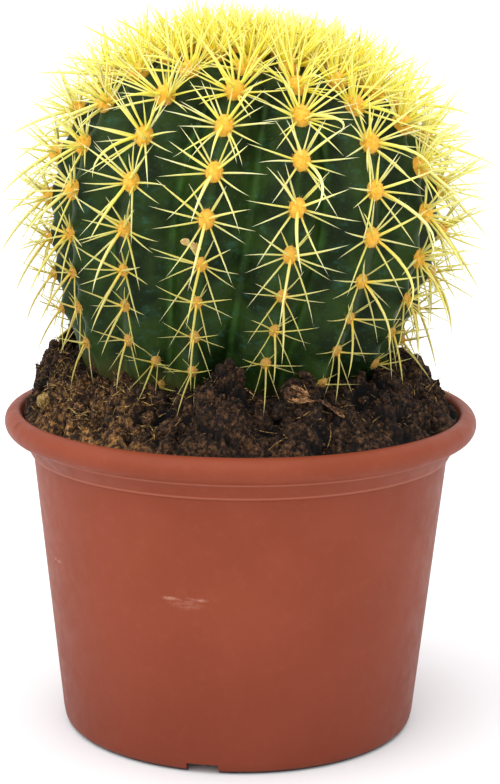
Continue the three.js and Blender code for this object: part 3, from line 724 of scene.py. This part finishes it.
def wool_tree():
    put, given = open_tree("wool", "Density", "Length", "Thickness", "Lean", Seed="Int")
    spread = put("DistributePointsOnFaces", {
        "Mesh": given["Geometry"], "Density": given["Density"], "Seed": given["Seed"]}).node
    cone = put("MeshCone", {"Vertices": 3, "Radius Top": 0.0, "Radius Bottom": 1.0, "Depth": 1.0},
               fill_type="NONE")
    stray = put("RandomValue", {0: (-1, -1, -1), 1: (1, 1, 1), "Seed": given["Seed"]}, **VECTOR)
    lean = put("VectorMath.SCALE", {0: stray, "Scale": given["Lean"]})
    aim = put("VectorMath.ADD", spread.outputs["Normal"], lean)
    vary = put("RandomValue", {2: 0.5, 3: 1.2, "Seed": given["Seed"]}, out=1, data_type="FLOAT")
    length = put(TIMES, given["Length"], vary)
    hairs = put("InstanceOnPoints", {
        "Points": spread.outputs["Points"], "Instance": cone,
        "Rotation": put("AlignRotationToVector", {"Vector": aim}, axis="Z"),
        "Scale": put("CombineXYZ", given["Thickness"], given["Thickness"], length)})
    both = put("JoinGeometry", given["Geometry"])
    both.id_data.links.new(hairs, both.node.inputs[0])
    return close_tree(put, both, given)


CUSHIONS, WOOL = cushion_tree(), wool_tree()


# %% Areole wool
def wool_material(name, fresh, pale, old):
    """Wool is dull from the front, but its hairs catch light at the edge, which is what the sheen does."""
    material, put = new_material(name, Roughness=0.95, Sheen_Weight=0.35, Sheen_Roughness=0.5,
                                 Sheen_Tint=linear("#FFE6A8"), Specular_IOR_Level=0.2)
    colour = tinted(put, fresh, pale, grain(put, 1.1), 0.35, 0.65)
    colour = tinted(put, colour, old, put("Attribute", attribute_name="age", out=2), 84.0, 150.0)
    return coated(material, put, colour, grain(put, 0.5, detail=2.0), 0.2)


PAD_WOOL = wool_material("areole_wool_golden", "#E6A72E", "#EFBE4E", "#B68A44")
CROWN_WOOL = wool_material("crown_wool_cream", "#EFCB62", "#F8E49C", "#EFCB62")

# %% Set the pads
PAD_SIZE, PAD_LIFT = np.array([3.4, 4.25, 3.7]), 0.9


def pad_extent(arc):
    """Half width, half length and height of a pad, in millimetres."""
    size = 0.75 + 0.25 * ramp(arc, 4, 34)
    for loss, start, end in ((0.14, 55, 90), (0.34, 96, 126), (0.2, 150, 165)):
        size *= 1 - loss * ramp(arc, start, end)
    return PAD_SIZE * size


def grow_pads(name, chosen, material):
    places = [p["frame"] @ Vector((0, 0, PAD_LIFT * (1 - ramp(p["arc"], 60, 120)))) for p in chosen]
    points = object_from(name + "_points", places, [], {
        "turn": [tuple(p["frame"].to_euler()) for p in chosen],
        "extent": [tuple(pad_extent(p["arc"]) * MM) for p in chosen], "age": [p["arc"] for p in chosen]})
    cushions = grow(name + "_cushions", points, CUSHIONS, material,
                    {"Lump Size": 1.8 * MM, "Lump Height": 1.0 * MM})
    return grow(name, cushions, WOOL, material, {
        "Density": 0.75 / MM ** 2, "Length": 1.2 * MM, "Thickness": 0.09 * MM, "Lean": 0.8, "Seed": 3})


grown_pads = grow_pads("felt_pads", [p for p in pads if p["arc"] > CROWN_EDGE[0]], PAD_WOOL)
young_pads = grow_pads("young_felt_pads", [p for p in pads if p["arc"] <= CROWN_EDGE[0]], PAD_WOOL)
dress(grown_pads, "cactus_stem", STEM_NODE)
dress(young_pads, "young_spines", CROWN_NODE)

# %% The woolly middle of the crown
def ring_body(name, rings, first, last, attributes=None):
    """A closed body from rings of points, one after another, with a point at each end."""
    sides = len(rings[0])
    points = [first, *(point for ring in rings for point in ring), last]
    end = len(points) - 1
    step = [(i, (i + 1) % sides) for i in range(sides)]
    faces = [(0, 1 + i, 1 + j) for i, j in step]
    for k in range(1, end - sides, sides):
        faces += [(k + i, k + sides + i, k + sides + j, k + j) for i, j in step]
    faces += [(end - sides + j, end - sides + i, end) for i, j in step]
    made = object_from(name, points, faces, attributes)
    face_out(made)
    return made


def crown_wool():
    sides, count, reach, rise, fall, root = 48, 9, 15, 1.4, 2.6, -4
    rings = []
    for k in range(1, count + 1):
        radius, z, out_r, out_z = on_crest(reach * k / count)
        lift = rise - fall * (k / count) ** 3
        ring = []
        for i in range(sides):
            b = 2 * pi * i / sides
            lumps = noise.fractal(Vector((radius * sin(b), radius * cos(b), 0)) / 4, 1.0, 2.0, 3)
            raised = around(radius + (lift + lumps) * out_r, b, z + (lift + lumps) * out_z)
            ring.append(PLANT @ Vector(raised))
        rings.append(ring)
    top, bottom = (PLANT @ Vector((0, 0, on_crest(0)[1] + height)) for height in (rise, root))
    cap = ring_body("crown_wool_cap", rings, top, bottom, {"age": [0.0] * (sides * count + 2)})
    return grow("crown_wool", cap, WOOL, CROWN_WOOL, {
        "Density": 1.5 / MM ** 2, "Length": 2.2 * MM, "Thickness": 0.12 * MM, "Lean": 0.8, "Seed": 5})


dress(crown_wool(), "young_spines", CROWN_NODE)

# %% [markdown]
# ## The pot
#
# A nursery pot is moulded polypropylene: a thin tapered wall, a collar with two creases, and a hollow
# rolled rim. It is a turned shape, so it is a profile spun round the axis, with enough points for the
# creases to catch light. The water notches and drain holes are then cut with a boolean, as the mould's
# pins leave them. The plastic is satin and even, and scuffed on the wall. A pale line painted along each
# crease is a painted highlight, and the wall is painted darker towards the foot, with a dark band at its
# bottom, as painted shade. Its grain is finer than a tenth of a millimetre, so it is drawn coarser, at
# 0.8 mm, to show at all.

# %% Moulded polypropylene
CREASES, CREASE_HIGHLIGHT = (101.5, 106.9), 0.34
LIP_NICK, ALONG_LIP = (-78.6, -30.8, 117.0), (0.364, -0.931, 0)
SCUFFS = [((-23.5, -67.1, 64.5), 4.4, 5.0, 0.36), ((-13.3, -69.9, 64.6), 4.0, 4.5, 0.36),
          ((-18.0, -68.7, 63.2), 8.0, 2.4, 0.15), ((-64.5, -30.5, 66.8), 4.0, 4.0, 0.3)]


def away_from(put, centre, squash=(1, 1, 1)):
    """The way from a point in millimetres, and how long it is when it is squashed along the axes."""
    away = put("VectorMath.SUBTRACT", put("TexCoord", out=3), [c * MM for c in centre])
    return away, put("VectorMath.LENGTH", put("VectorMath.MULTIPLY", away, squash), out=1)


def plastic_material():
    material, put = new_material("polypropylene_terracotta_moulded", IOR=1.49, Specular_IOR_Level=0.14)
    height = put("SeparateXYZ", put("TexCoord", out=3), out=2)
    colour = tinted(put, "#7E3A25", "#843E29", grain(put, 35), 0.3, 0.7)
    colour = tinted(put, colour, "#96503A", grain(put, 3.5, detail=4.0), 0.5, 0.75, 0.12)
    # Painted shade: the wall is painted darker towards the foot.
    colour = tinted(put, colour, "#5E2518", height, 75 * MM, 0.0, 0.4)
    # A pale line painted along each crease: a painted highlight.
    for crease in CREASES:
        beside = put("Math.ABSOLUTE", put(MINUS, height, crease * MM))
        colour = tinted(put, colour, "#B4715A", beside, 0.6 * MM, 0.15 * MM, CREASE_HIGHLIGHT)
    # Painted shade: a dark band along the bottom of the foot, where it meets the floor.
    colour = tinted(put, colour, "#2A181A", height, 1.3 * MM, 0.6 * MM)
    for centre, reach, flat, share in SCUFFS:
        near = away_from(put, centre, (1, 0.5, flat))[1]
        scratch = put("MapRange", grain(put, 1.3, stretch=(0.6, 1, 1.4)), 0.32, 0.68, **SMOOTH)
        worn = put(TIMES, scratch, share)
        colour = tinted(put, colour, "#D9A794", near, reach * MM, 0.2 * reach * MM, worn)
    away, near = away_from(put, LIP_NICK)
    beside = put("Math.ABSOLUTE", put("VectorMath.DOT_PRODUCT", away, ALONG_LIP, out=1))
    close = put("MapRange", near, 3.2 * MM, 2.2 * MM, **SMOOTH)
    colour = tinted(put, colour, "#3A1A14", beside, 0.35 * MM, 0.1 * MM, close)
    satin = put("MapRange", grain(put, 6), 0.3, 0.7, 0.42, 0.56)
    return coated(material, put, colour, grain(put, 0.8, detail=2.0), 0.05, satin)


PLASTIC = plastic_material()

# %% Spin the pot's profile
FOOT, FLOOR, WALL, WALL_TOP = 64.2, 5.2, 1.7, (75.0, 100.7)
RIM, RIM_REACH, RIM_RISE = (81.1, POT_HEIGHT - 4.7), 4.1, 4.5
FOOT_RING = [(0, 3.4), (59.8, 3.4), (60.6, 3.1), (61.0, 0.5), (61.5, 0.0), (62.1, 0.0), (62.9, 0.4),
             (63.7, 1.2), (64.15, 2.1), (64.4, 3.2)]
COLLAR = [(74.95, 100.2), (75.0, 100.5), (75.7, 100.9), (76.0, 101.2), (76.1, 101.6), (76.6, 102.4),
          (78.0, 104.7), (79.2, 106.6), (79.4, 107.0), (79.6, 107.2), (79.9, 107.4)]
INSIDE = [(80.3, 116.7), (79.6, 116.2), (79.2, 115.2), (78.2, 112), (76.8, 107.1), (73.2, 100.7)]


def pot_profile():
    slope = (WALL_TOP[0] - FOOT) / WALL_TOP[1]
    wall = [(FOOT + slope * z, z) for z in np.linspace(5, WALL_TOP[1] - 1.2, 14)]
    angles = [radians(-80 + 170 * i / 21) for i in range(22)]
    rim = [(RIM[0] + RIM_REACH * cos(a), RIM[1] + RIM_RISE * sin(a)) for a in angles]
    return FOOT_RING + wall + COLLAR + rim + INSIDE + [(FOOT + slope * FLOOR - WALL, FLOOR), (0, FLOOR)]


def ring_of(radius, z, sides):
    return [around(radius, 2 * pi * i / sides, z) for i in range(sides)]


def lathe(name, profile, sides):
    """A closed body turned about +Z from a profile whose ends lie on the axis."""
    rings = [ring_of(radius, z, sides) for radius, z in profile[1:-1]]
    return ring_body(name, rings, (0, 0, profile[0][1]), (0, 0, profile[-1][1]))


def cut(piece, cutters):
    """Subtracts closed cutters from a piece, and removes them."""
    for cutter in cutters:
        modifier = piece.modifiers.new("cut", "BOOLEAN")
        modifier.object, modifier.solver = cutter, "MANIFOLD"
    make_plain(piece)
    for cutter in cutters:
        bpy.data.objects.remove(cutter)


def painted_all_over(piece, material):
    piece.data.materials.clear()
    piece.data.materials.append(material)


NOTCH, NOTCH_BEARING, DRAIN_CIRCLE = (5.6, 4.5, 3.4), -11, 42
DRAIN = [(0, 0.5), (4.5, 0.5), (4.5, 8), (0, 8)]
NICK, NICK_REACH, NICK_DEPTH = Vector((-79.5, -32.5, 115.0)) * MM, 3.2 * MM, 0.9 * MM

pot = lathe("nursery_pot", pot_profile(), 192)
for vertex in pot.data.vertices:
    near = (vertex.co - NICK).length / NICK_REACH
    if near < 1:
        vertex.co -= Vector((vertex.co.x, vertex.co.y, 0)).normalized() * NICK_DEPTH * (1 - near) ** 2
cutters = []
for k in range(3):
    turn = Matrix.Rotation(radians(NOTCH_BEARING + 120 * k), 4, "Z")
    corners = [turn @ Vector((NOTCH[0] * x, -FOOT + NOTCH[1] * y, NOTCH[2] * z))
               for x, y, z in product((-1, 1), repeat=3)]
    sides = [(0, 1, 3, 2), (4, 6, 7, 5), (0, 4, 5, 1), (2, 3, 7, 6), (0, 2, 6, 4), (1, 5, 7, 3)]
    cutters.append(object_from(f"notch_{k}", corners, sides))
for k in range(6):
    hole = lathe(f"drain_{k}", DRAIN, 32)
    hole.data.transform(Matrix.Translation(around(DRAIN_CIRCLE * MM, radians(90 + 60 * k))))
    cutters.append(hole)
for cutter in cutters:
    face_out(cutter)
cut(pot, cutters)
painted_all_over(pot, PLASTIC)
face_out(pot)
pot.data.set_sharp_from_angle(angle=radians(35))
dress(pot, "terracotta_plastic", "pot")

# %% [markdown]
# ## The soil
#
# Peat is lumps, crumbs and fibres. A bump map alone leaves the edge against the pot and the stem flat, so
# the lumps are geometry: a polar grid takes the soil's own slope and clods, and a tree pushes it up by
# rounded cells of two sizes and by grit. Crumbs are then scattered on it, and fibres are laid over it by
# the tree that made the spines. Peat is dull. Its crevices and the spaces between its grains are painted
# nearly black, as painted shade. Its dust is too fine to show, so the grit is drawn 1.4 mm wide.

# %% Peat
OCHRE_PATCH = (-56, -46, 112)
GRIT_SIZE = 1.4


def peat_material(name, dark, mid, light, ochre):
    material, put = new_material(name, Roughness=0.95, Specular_IOR_Level=0.25)
    colour = tinted(put, dark, mid, grain(put, 5, detail=5.0), 0.38, 0.62)
    colour = tinted(put, colour, light, grain(put, 1.4, detail=4.0), 0.54, 0.74)
    near = away_from(put, OCHRE_PATCH, (1, 1, 1.6))[1]
    patch = put("MapRange", near, 50 * MM, 8 * MM, **SMOOTH)
    share = put("Math.MULTIPLY_ADD", patch, 0.78, 0.12)
    colour = tinted(put, colour, ochre, grain(put, 1.9, detail=5.0, roughness=0.75), 0.43, 0.6, share)
    # Painted shade in the spaces between grit grains: near black, browner in the ochre patch.
    painted_gap_shade = put("Mix", {0: patch, 6: "#0A0504", 7: "#38261A"}, **BLEND)
    colour = tinted(put, painted_gap_shade, colour, grain(put, GRIT_SIZE, detail=4.0, roughness=0.65), 0.4, 0.56)
    # Painted shade: the low places among the lumps are painted nearly black.
    colour = tinted(put, "#040202", colour, put("Attribute", attribute_name="rise", out=2), 0.14, 0.72)
    return coated(material, put, colour, grain(put, 0.9, detail=4.0, roughness=0.65), 0.5)


PEAT = peat_material("peat_crumbly", "#1A0F0A", "#362116", "#5E422E", "#AE7F45")
FIBRE = peat_material("peat_fibre_dry", "#6A4C28", "#A07C42", "#C8A462", "#DCBC7C")


# %% The soil's lumps
SOIL_WALL, SOIL_FLOOR, LOOSE_FROM_WALL = ((76.2, 106.9), (72.6, 100.7), (62.8, 5.5)), 5.5, 2.5


def soil_grid():
    """A closed block of soil, with a fine polar grid on top and the pot's inner wall round it."""
    sectors, inner, spacing = 720, 38, 0.5
    rings, loose = [], [0.0]
    for radius in [inner, *np.arange(inner + 2, SOIL_RADIUS - 0.3, spacing), SOIL_RADIUS]:
        rings.append([(x, y, soil_height(x, y)) for x, y, _ in ring_of(radius, 0, sectors)])
        loose += [min(1, max(0, (SOIL_RADIUS - radius) / LOOSE_FROM_WALL))] * sectors
    rings += [ring_of(radius, z, sectors) for radius, z in SOIL_WALL]
    loose += [0.0] * (len(SOIL_WALL) * sectors + 1)
    top, bottom = (0, 0, SOIL_EDGE + SOIL_MOUND), (0, 0, SOIL_FLOOR)
    return ring_body("soil_grid", rings, top, bottom, {"loose": loose})


def lump_tree():
    put, given = open_tree("peat_lumps", "Clod Size", "Clod Height", "Crumb Size", "Crumb Height",
                           "Grit Size", "Grit Height")
    place = put("InputPosition")
    stir = put("TexNoise", {"Vector": place, "Scale": 90.0, "Detail": 2.0}, out=1)
    moved = put("VectorMath.ADD", place, put("VectorMath.SCALE", {0: stir, "Scale": 9 * MM}))
    total = 0.0
    for label in ("Clod", "Crumb"):
        size = put(OVER, 1.0, given[label + " Size"])
        cells = put("TexVoronoi", {"Vector": moved, "Scale": size}, feature="F1")
        dome = put(MINUS, 0.4, put(TIMES, put(TIMES, cells, cells), 1.3))
        total = put(PLUS, total, put(TIMES, dome, given[label + " Height"]))
    grit = put("TexNoise", {"Vector": place, "Scale": put(OVER, 1.0, given["Grit Size"]),
                            "Detail": 4.0, "Roughness": 0.65})
    gritty = put(TIMES, put(MINUS, grit, 0.5), given["Grit Height"])
    total = put(PLUS, total, gritty)
    push = put(TIMES, total, put(CARRIED, "loose"))
    # How high a point stands among the lumps; the peat material paints shade where it is low.
    rise = put(PLUS, put(OVER, total, given["Clod Height"]), 0.45)
    marked = put("StoreNamedAttribute", {"Geometry": given["Geometry"], "Name": "rise", "Value": rise})
    out = put("VectorMath.NORMALIZE", put("VectorMath.ADD", put("InputNormal"), (0, 0, 1.0)))
    return close_tree(put, marked, given, put("VectorMath.SCALE", {0: out, "Scale": push}))


soil = grow("peat_soil", soil_grid(), lump_tree(), PEAT, {
    "Clod Size": 10 * MM, "Clod Height": 6.0 * MM, "Crumb Size": 3.6 * MM, "Crumb Height": 2.6 * MM,
    "Grit Size": GRIT_SIZE * MM, "Grit Height": 2.6 * MM})
print("soil:", len(soil.data.polygons), "faces before the stem's hole")

# %% Scatter crumbs on the soil
def stem_clearance(point):
    """How far a point in millimetres lies outside the stem's crests, beside its axis."""
    local = upright @ point
    return hypot(local.x, local.y) - float(np.interp(-local.z, -LINE[:, 1], LINE[:, 0]))


surface = BVHTree.FromPolygons([v.co / MM for v in soil.data.vertices],
                               [tuple(p.vertices) for p in soil.data.polygons])
draw = drawer(3000)
SCATTER_HALF, BARE_MIDDLE, FROM_ABOVE = 78, 44, 200


def soil_spot(clear, wall):
    """A drawn place on the open soil and the soil's normal there, clear of the stem and the wall."""
    while True:
        x, y = SCATTER_HALF * draw(), SCATTER_HALF * draw()
        if not BARE_MIDDLE < hypot(x, y) < SOIL_RADIUS - wall:
            continue
        place, normal = surface.ray_cast(Vector((x, y, FROM_ABOVE)), Vector((0, 0, -1)))[:2]
        if place and stem_clearance(place) > clear:
            return place, normal


def crumb_tree():
    put, given = open_tree("crumbs", "Lump", Subdivisions="Int")
    lumps = put("TexNoise", {"Scale": 1 / (1.6 * MM), "Detail": 2.0}, out=1)
    centred = put("VectorMath.SUBTRACT", lumps, (0.5, 0.5, 0.5))
    push = put("VectorMath.SCALE", {0: centred, "Scale": given["Lump"]})
    return close_tree(put, set_balls(put, given, given["Subdivisions"]), given, push)


CRUMBS = crumb_tree()


def grow_crumbs(name, count, smallest, largest, subdivisions):
    places, turns, extents, rises = [], [], [], []
    for _ in range(count):
        size = smallest + (largest - smallest) * ((draw() + 1) / 2) ** 2
        place, normal = soil_spot(0.6 * size, 1.8 + 1.5 * size)
        places.append(place + normal * size * 0.25)
        turns.append([3 * draw(), 3 * draw(), 3 * draw()])
        extents.append([size * (0.8 + 0.25 * draw()) * MM for _ in range(3)])
        # Each crumb gets a drawn share of the peat's painted crevice shade, which also varies their tone.
        rises.append(0.6 + 0.25 * draw())
    points = object_from(name + "_points", places, [], {"turn": turns, "extent": extents, "rise": rises})
    return grow(name, points, CRUMBS, PEAT, {"Subdivisions": subdivisions, "Lump": 2.2 * MM})


dress(grow_crumbs("soil_crumbs_fine", 7500, 0.35, 1.2, 1), "peat_soil", "soil")
dress(grow_crumbs("soil_crumbs_coarse", 130, 1.6, 4.2, 2), "peat_soil", "soil")

# %% Lay fibres over the soil
FIBRE_TRIES, THINNED_FROM = 2000, -25
fibres = []
for _ in range(FIBRE_TRIES):
    place, normal = soil_spot(0.8, 3.5)
    if place.x > THINNED_FROM and draw() > -0.6:  # only one in five is kept to the right of there
        continue
    bearing = pi * draw()
    tangent = Vector((cos(bearing), sin(bearing), 0))
    tangent = (tangent - normal * tangent.dot(normal) + normal * 0.18 * (draw() + 0.6)).normalized()
    length = 3.5 + 3 * (draw() + 1)
    end = place + tangent * length
    if hypot(end.x, end.y) > SOIL_RADIUS - 2 or stem_clearance(end) < 0.5:
        continue
    girth = 0.17 + 0.06 * draw()
    bow = normal * 0.05 * length + normal.cross(tangent) * 0.16 * length * draw()
    fibres.append({"place": place + normal * 0.3, "aim": tangent, "length": length, "girth": girth,
                   "bow": bow, "age": 0, "tint": draw()})
dress(grow_spines("peat_fibres", fibres, FIBRE, 4, 5, 0.95), "peat_soil", "soil")

# %% Cut the stem's hole and finish the soil
hole = stem.copy()
hole.data = stem.data.copy()
scene.collection.objects.link(hole)
cut(soil, [hole])
painted_all_over(soil, PEAT)
dress(soil, "peat_soil", "soil")

# %% [markdown]
# ## Loose scraps
#
# A dry husk curls on the soil at the front right, a pale porous crumb lies at the far left, and a small
# bud scale is caught between the spines. Each is small, but the eye finds it, so each has its own shape
# and finish. Dry husk is papery and dull, with veins along it, and the crumb is chalky, with pores
# painted dark as painted shade.

# %% Dry husk and porous grit
def husk_material(name, shade, edge):
    material, put = new_material(name, Roughness=0.8, Specular_IOR_Level=0.3)
    veins = grain(put, 0.9, detail=3.0, stretch=(0.4, 1, 1))
    blade = tinted(put, shade, edge, veins, 0.42, 0.66)
    stalk = tinted(put, "#2E1C12", "#6A4A30", veins, 0.4, 0.62)
    colour = tinted(put, blade, stalk, put("Attribute", attribute_name="stalk", out=2), 0.28, 0.45)
    return coated(material, put, colour, veins, 0.2)


def grit_material():
    material, put = new_material("grit_porous_pale", Roughness=0.9, Specular_IOR_Level=0.2)
    colour = tinted(put, "#6E5630", "#987E4C", grain(put, 1.2, detail=4.0), 0.4, 0.6)
    # Painted shade: the crumb's pores are painted dark.
    colour = tinted(put, colour, "#241A0A", put("Attribute", attribute_name="pore", out=2), 0.05, 0.5)
    return coated(material, put, colour, grain(put, 0.7, detail=3.0), 0.3)


HUSK = husk_material("husk_papery_dry", "#52361F", "#A87C50")
SCALE = husk_material("bud_scale_dry", "#B69458", "#E2CE98")
GRIT = grit_material()


# %% The husk and the caught scale
def scrap(name, path, out, widths, curl, seed, material, has_stalk=False):
    """A thin curled scrap with ragged edges; widths hold shares of its path and half widths there."""
    lanes, points, faces, stalk = 7, [], [], []
    last = len(path) - 1
    for i, centre in enumerate(path):
        share = i / last
        across = out.cross(path[min(i + 1, last)] - path[max(i - 1, 0)]).normalized()
        half = float(np.interp(share, *widths)) * (1 + 0.9 * noise.noise(Vector((share * 15, seed, 0))))
        for j in range(lanes):
            w = 2 * j / (lanes - 1) - 1
            lift = curl * (w * w - 0.3) + 0.6 * noise.noise(Vector((share * 9, w * 2, seed)))
            points.append(centre + across * (w * half) + out * lift)
            stalk.append(share if has_stalk and share < 0.82 else 0.0)
    for i in range(last):
        faces += [(k, k + lanes, k + lanes + 1, k + 1) for k in range(i * lanes, (i + 1) * lanes - 1)]
    made = object_from(name, points, faces, {"stalk": stalk})
    thick = made.modifiers.new("thickness", "SOLIDIFY")
    thick.thickness, thick.offset = 0.35 * MM, 0
    fine = made.modifiers.new("smooth", "SUBSURF")
    fine.levels = fine.render_levels = 1
    make_plain(made)
    made.data.materials.append(material)
    face_out(made)
    return made


def seen(column, row):
    """The point of the soil that the camera sees at a pixel of the picture, in millimetres."""
    ray = ahead * LENS_PIXELS + right * (column - IMAGE[0] / 2) - above * (row - IMAGE[1] / 2)
    return surface.ray_cast(camera.location / MM, ray.normalized())[0]


low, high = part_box("dry_flake")
print(f"the solid model's flake is {(high[0] - low[0]) / MM:.0f} mm long")
HUSK_OUT = Vector((0.1, -0.6, 0.8)).normalized()
HUSK_PARTS = [
    ("dry_husk",
     [(295, 396), (302, 400), (309, 401), (316, 402), (323, 404), (331, 410), (338, 415), (346, 421)],
     ([0, 0.1, 0.28, 0.45, 0.7, 0.88, 1], [0.6, 1.4, 1.5, 1.0, 0.8, 0.9, 0.2]), 0.9),
    ("husk_upper_blade", [(290, 389), (295, 391), (301, 394), (307, 398)],
     ([0, 0.3, 1], [0.3, 0.8, 0.9]), 1.5),
    ("husk_lower_blade", [(283, 399), (290, 402), (297, 404), (303, 404), (309, 402)],
     ([0, 0.4, 0.8, 1], [0.2, 0.8, 1.2, 0.7]), 1.3)]
for number, (name, pixels, widths, lift) in enumerate(HUSK_PARTS):
    track = np.array([seen(column, row) for column, row in pixels])
    steps = np.linspace(0, 1, 25)
    track = [np.interp(steps, np.linspace(0, 1, len(track)), track[:, k]) for k in range(3)]
    track = [np.convolve(np.pad(t, 3, mode="edge"), np.ones(7) / 7, mode="valid") for t in track]
    path = [Vector(p) + HUSK_OUT * lift for p in zip(*track)]
    made = scrap(name, path, HUSK_OUT, widths, 0.7, 3.0 + number, HUSK, number == 0)
    dress(made, "dry_husk", "dry_flake")

SCALE_BEARING, SCALE_ARC, SCALE_INSET, SCALE_HALF = -14.2, 110, 0.6, 3.2
held = pad_frame(radians(SCALE_BEARING), SCALE_ARC) @ Matrix.Translation((0, 0, -SCALE_INSET))
caught_path = [held @ Vector((x, -0.4 * x + 0.3 * sin(3 * x), 0))
               for x in np.linspace(-SCALE_HALF, SCALE_HALF, 15)]
caught = scrap("caught_scrap", caught_path, held.col[2].to_3d(),
               ([0, 0.2, 0.45, 0.55, 0.8, 1], [0.7, 1.5, 0.5, 0.8, 2.2, 0.8]), 0.7, 8.0, SCALE)
dress(caught, "dry_husk")

# %% The pale crumb
low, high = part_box("pale_crumb")
ball = bmesh.new()
bmesh.ops.create_icosphere(ball, subdivisions=5, radius=1.0)
points, pores = [], []
for vertex in ball.verts:
    pore = max(0, 1 - noise.voronoi(vertex.co * 3.4)[0][0] / 0.36)
    reach = 1 + 0.15 * noise.fractal(vertex.co * 2.1, 0.8, 2.1, 4) - 0.16 * pore
    points.append([((lo + hi) + c * (hi - lo) * reach) / 2 / MM for lo, hi, c in zip(low, high, vertex.co)])
    pores.append(pore)
faces = [[vertex.index for vertex in face.verts] for face in ball.faces]
grit = object_from("pale_grit", points, faces, {"pore": pores})
ball.free()
grit.data.materials.append(GRIT)
face_out(grit)
dress(grit, "pale_grit", "pale_crumb")

# %% [markdown]
# ## Light and floor
#
# A product photo is lit by large soft sources. Here they are a bright surround, a broad sun high at the
# left, and a weak one from behind. The floor is plain and pale, reaches past the top of the picture, and
# isn't part of the plant.

# %% Light the scene
world = bpy.data.worlds.new("surround")
world.use_nodes = True
world.node_tree.nodes["Background"].inputs["Color"].default_value = (1, 1, 1, 1)
world.node_tree.nodes["Background"].inputs["Strength"].default_value = 1.0
scene.world = world
scene.view_settings.view_transform = "Standard"

SUNS = (("key_sun", (-0.6, -0.9, 1.45), 2.35, 90), ("back_sun", (0.5, 0.9, 1.6), 0.6, 90))
for name, source, strength, spread in SUNS:
    lamp = bpy.data.lights.new(name, "SUN")
    lamp.energy, lamp.angle = strength, radians(spread)
    holder = bpy.data.objects.new(name, lamp)
    scene.collection.objects.link(holder)
    holder.location = source
    holder.rotation_euler = (-Vector(source)).to_track_quat("-Z", "Y").to_euler()

FLOOR_HALF, FLOOR_DROP = 20000, 0.2
corners = [(x * FLOOR_HALF, y * FLOOR_HALF, -FLOOR_DROP) for x, y in ((-1, -1), (1, -1), (1, 1), (-1, 1))]
floor = object_from("floor", corners, [(0, 1, 2, 3)])
paper, put = new_material("paper_white_matte", Roughness=0.9, Specular_IOR_Level=0.1)
coated(paper, put, tinted(put, "#E4E3E5", "#E8E8E9", grain(put, 300), 0.3, 0.7))
floor.data.materials.append(paper)
floor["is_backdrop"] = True
print("lights and floor ready")

# %% [markdown]
# ## Measure
#
# The last cell prints the box of the solid model and that of the dressed one.

# %% Measure and finish
dressed_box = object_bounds()
boxes = {"cad": [list(corner) for corner in cad_box], "visual": [list(corner) for corner in dressed_box]}
print({k: [[round(c / MM, 1) for c in corner] for corner in v] for k, v in boxes.items()})
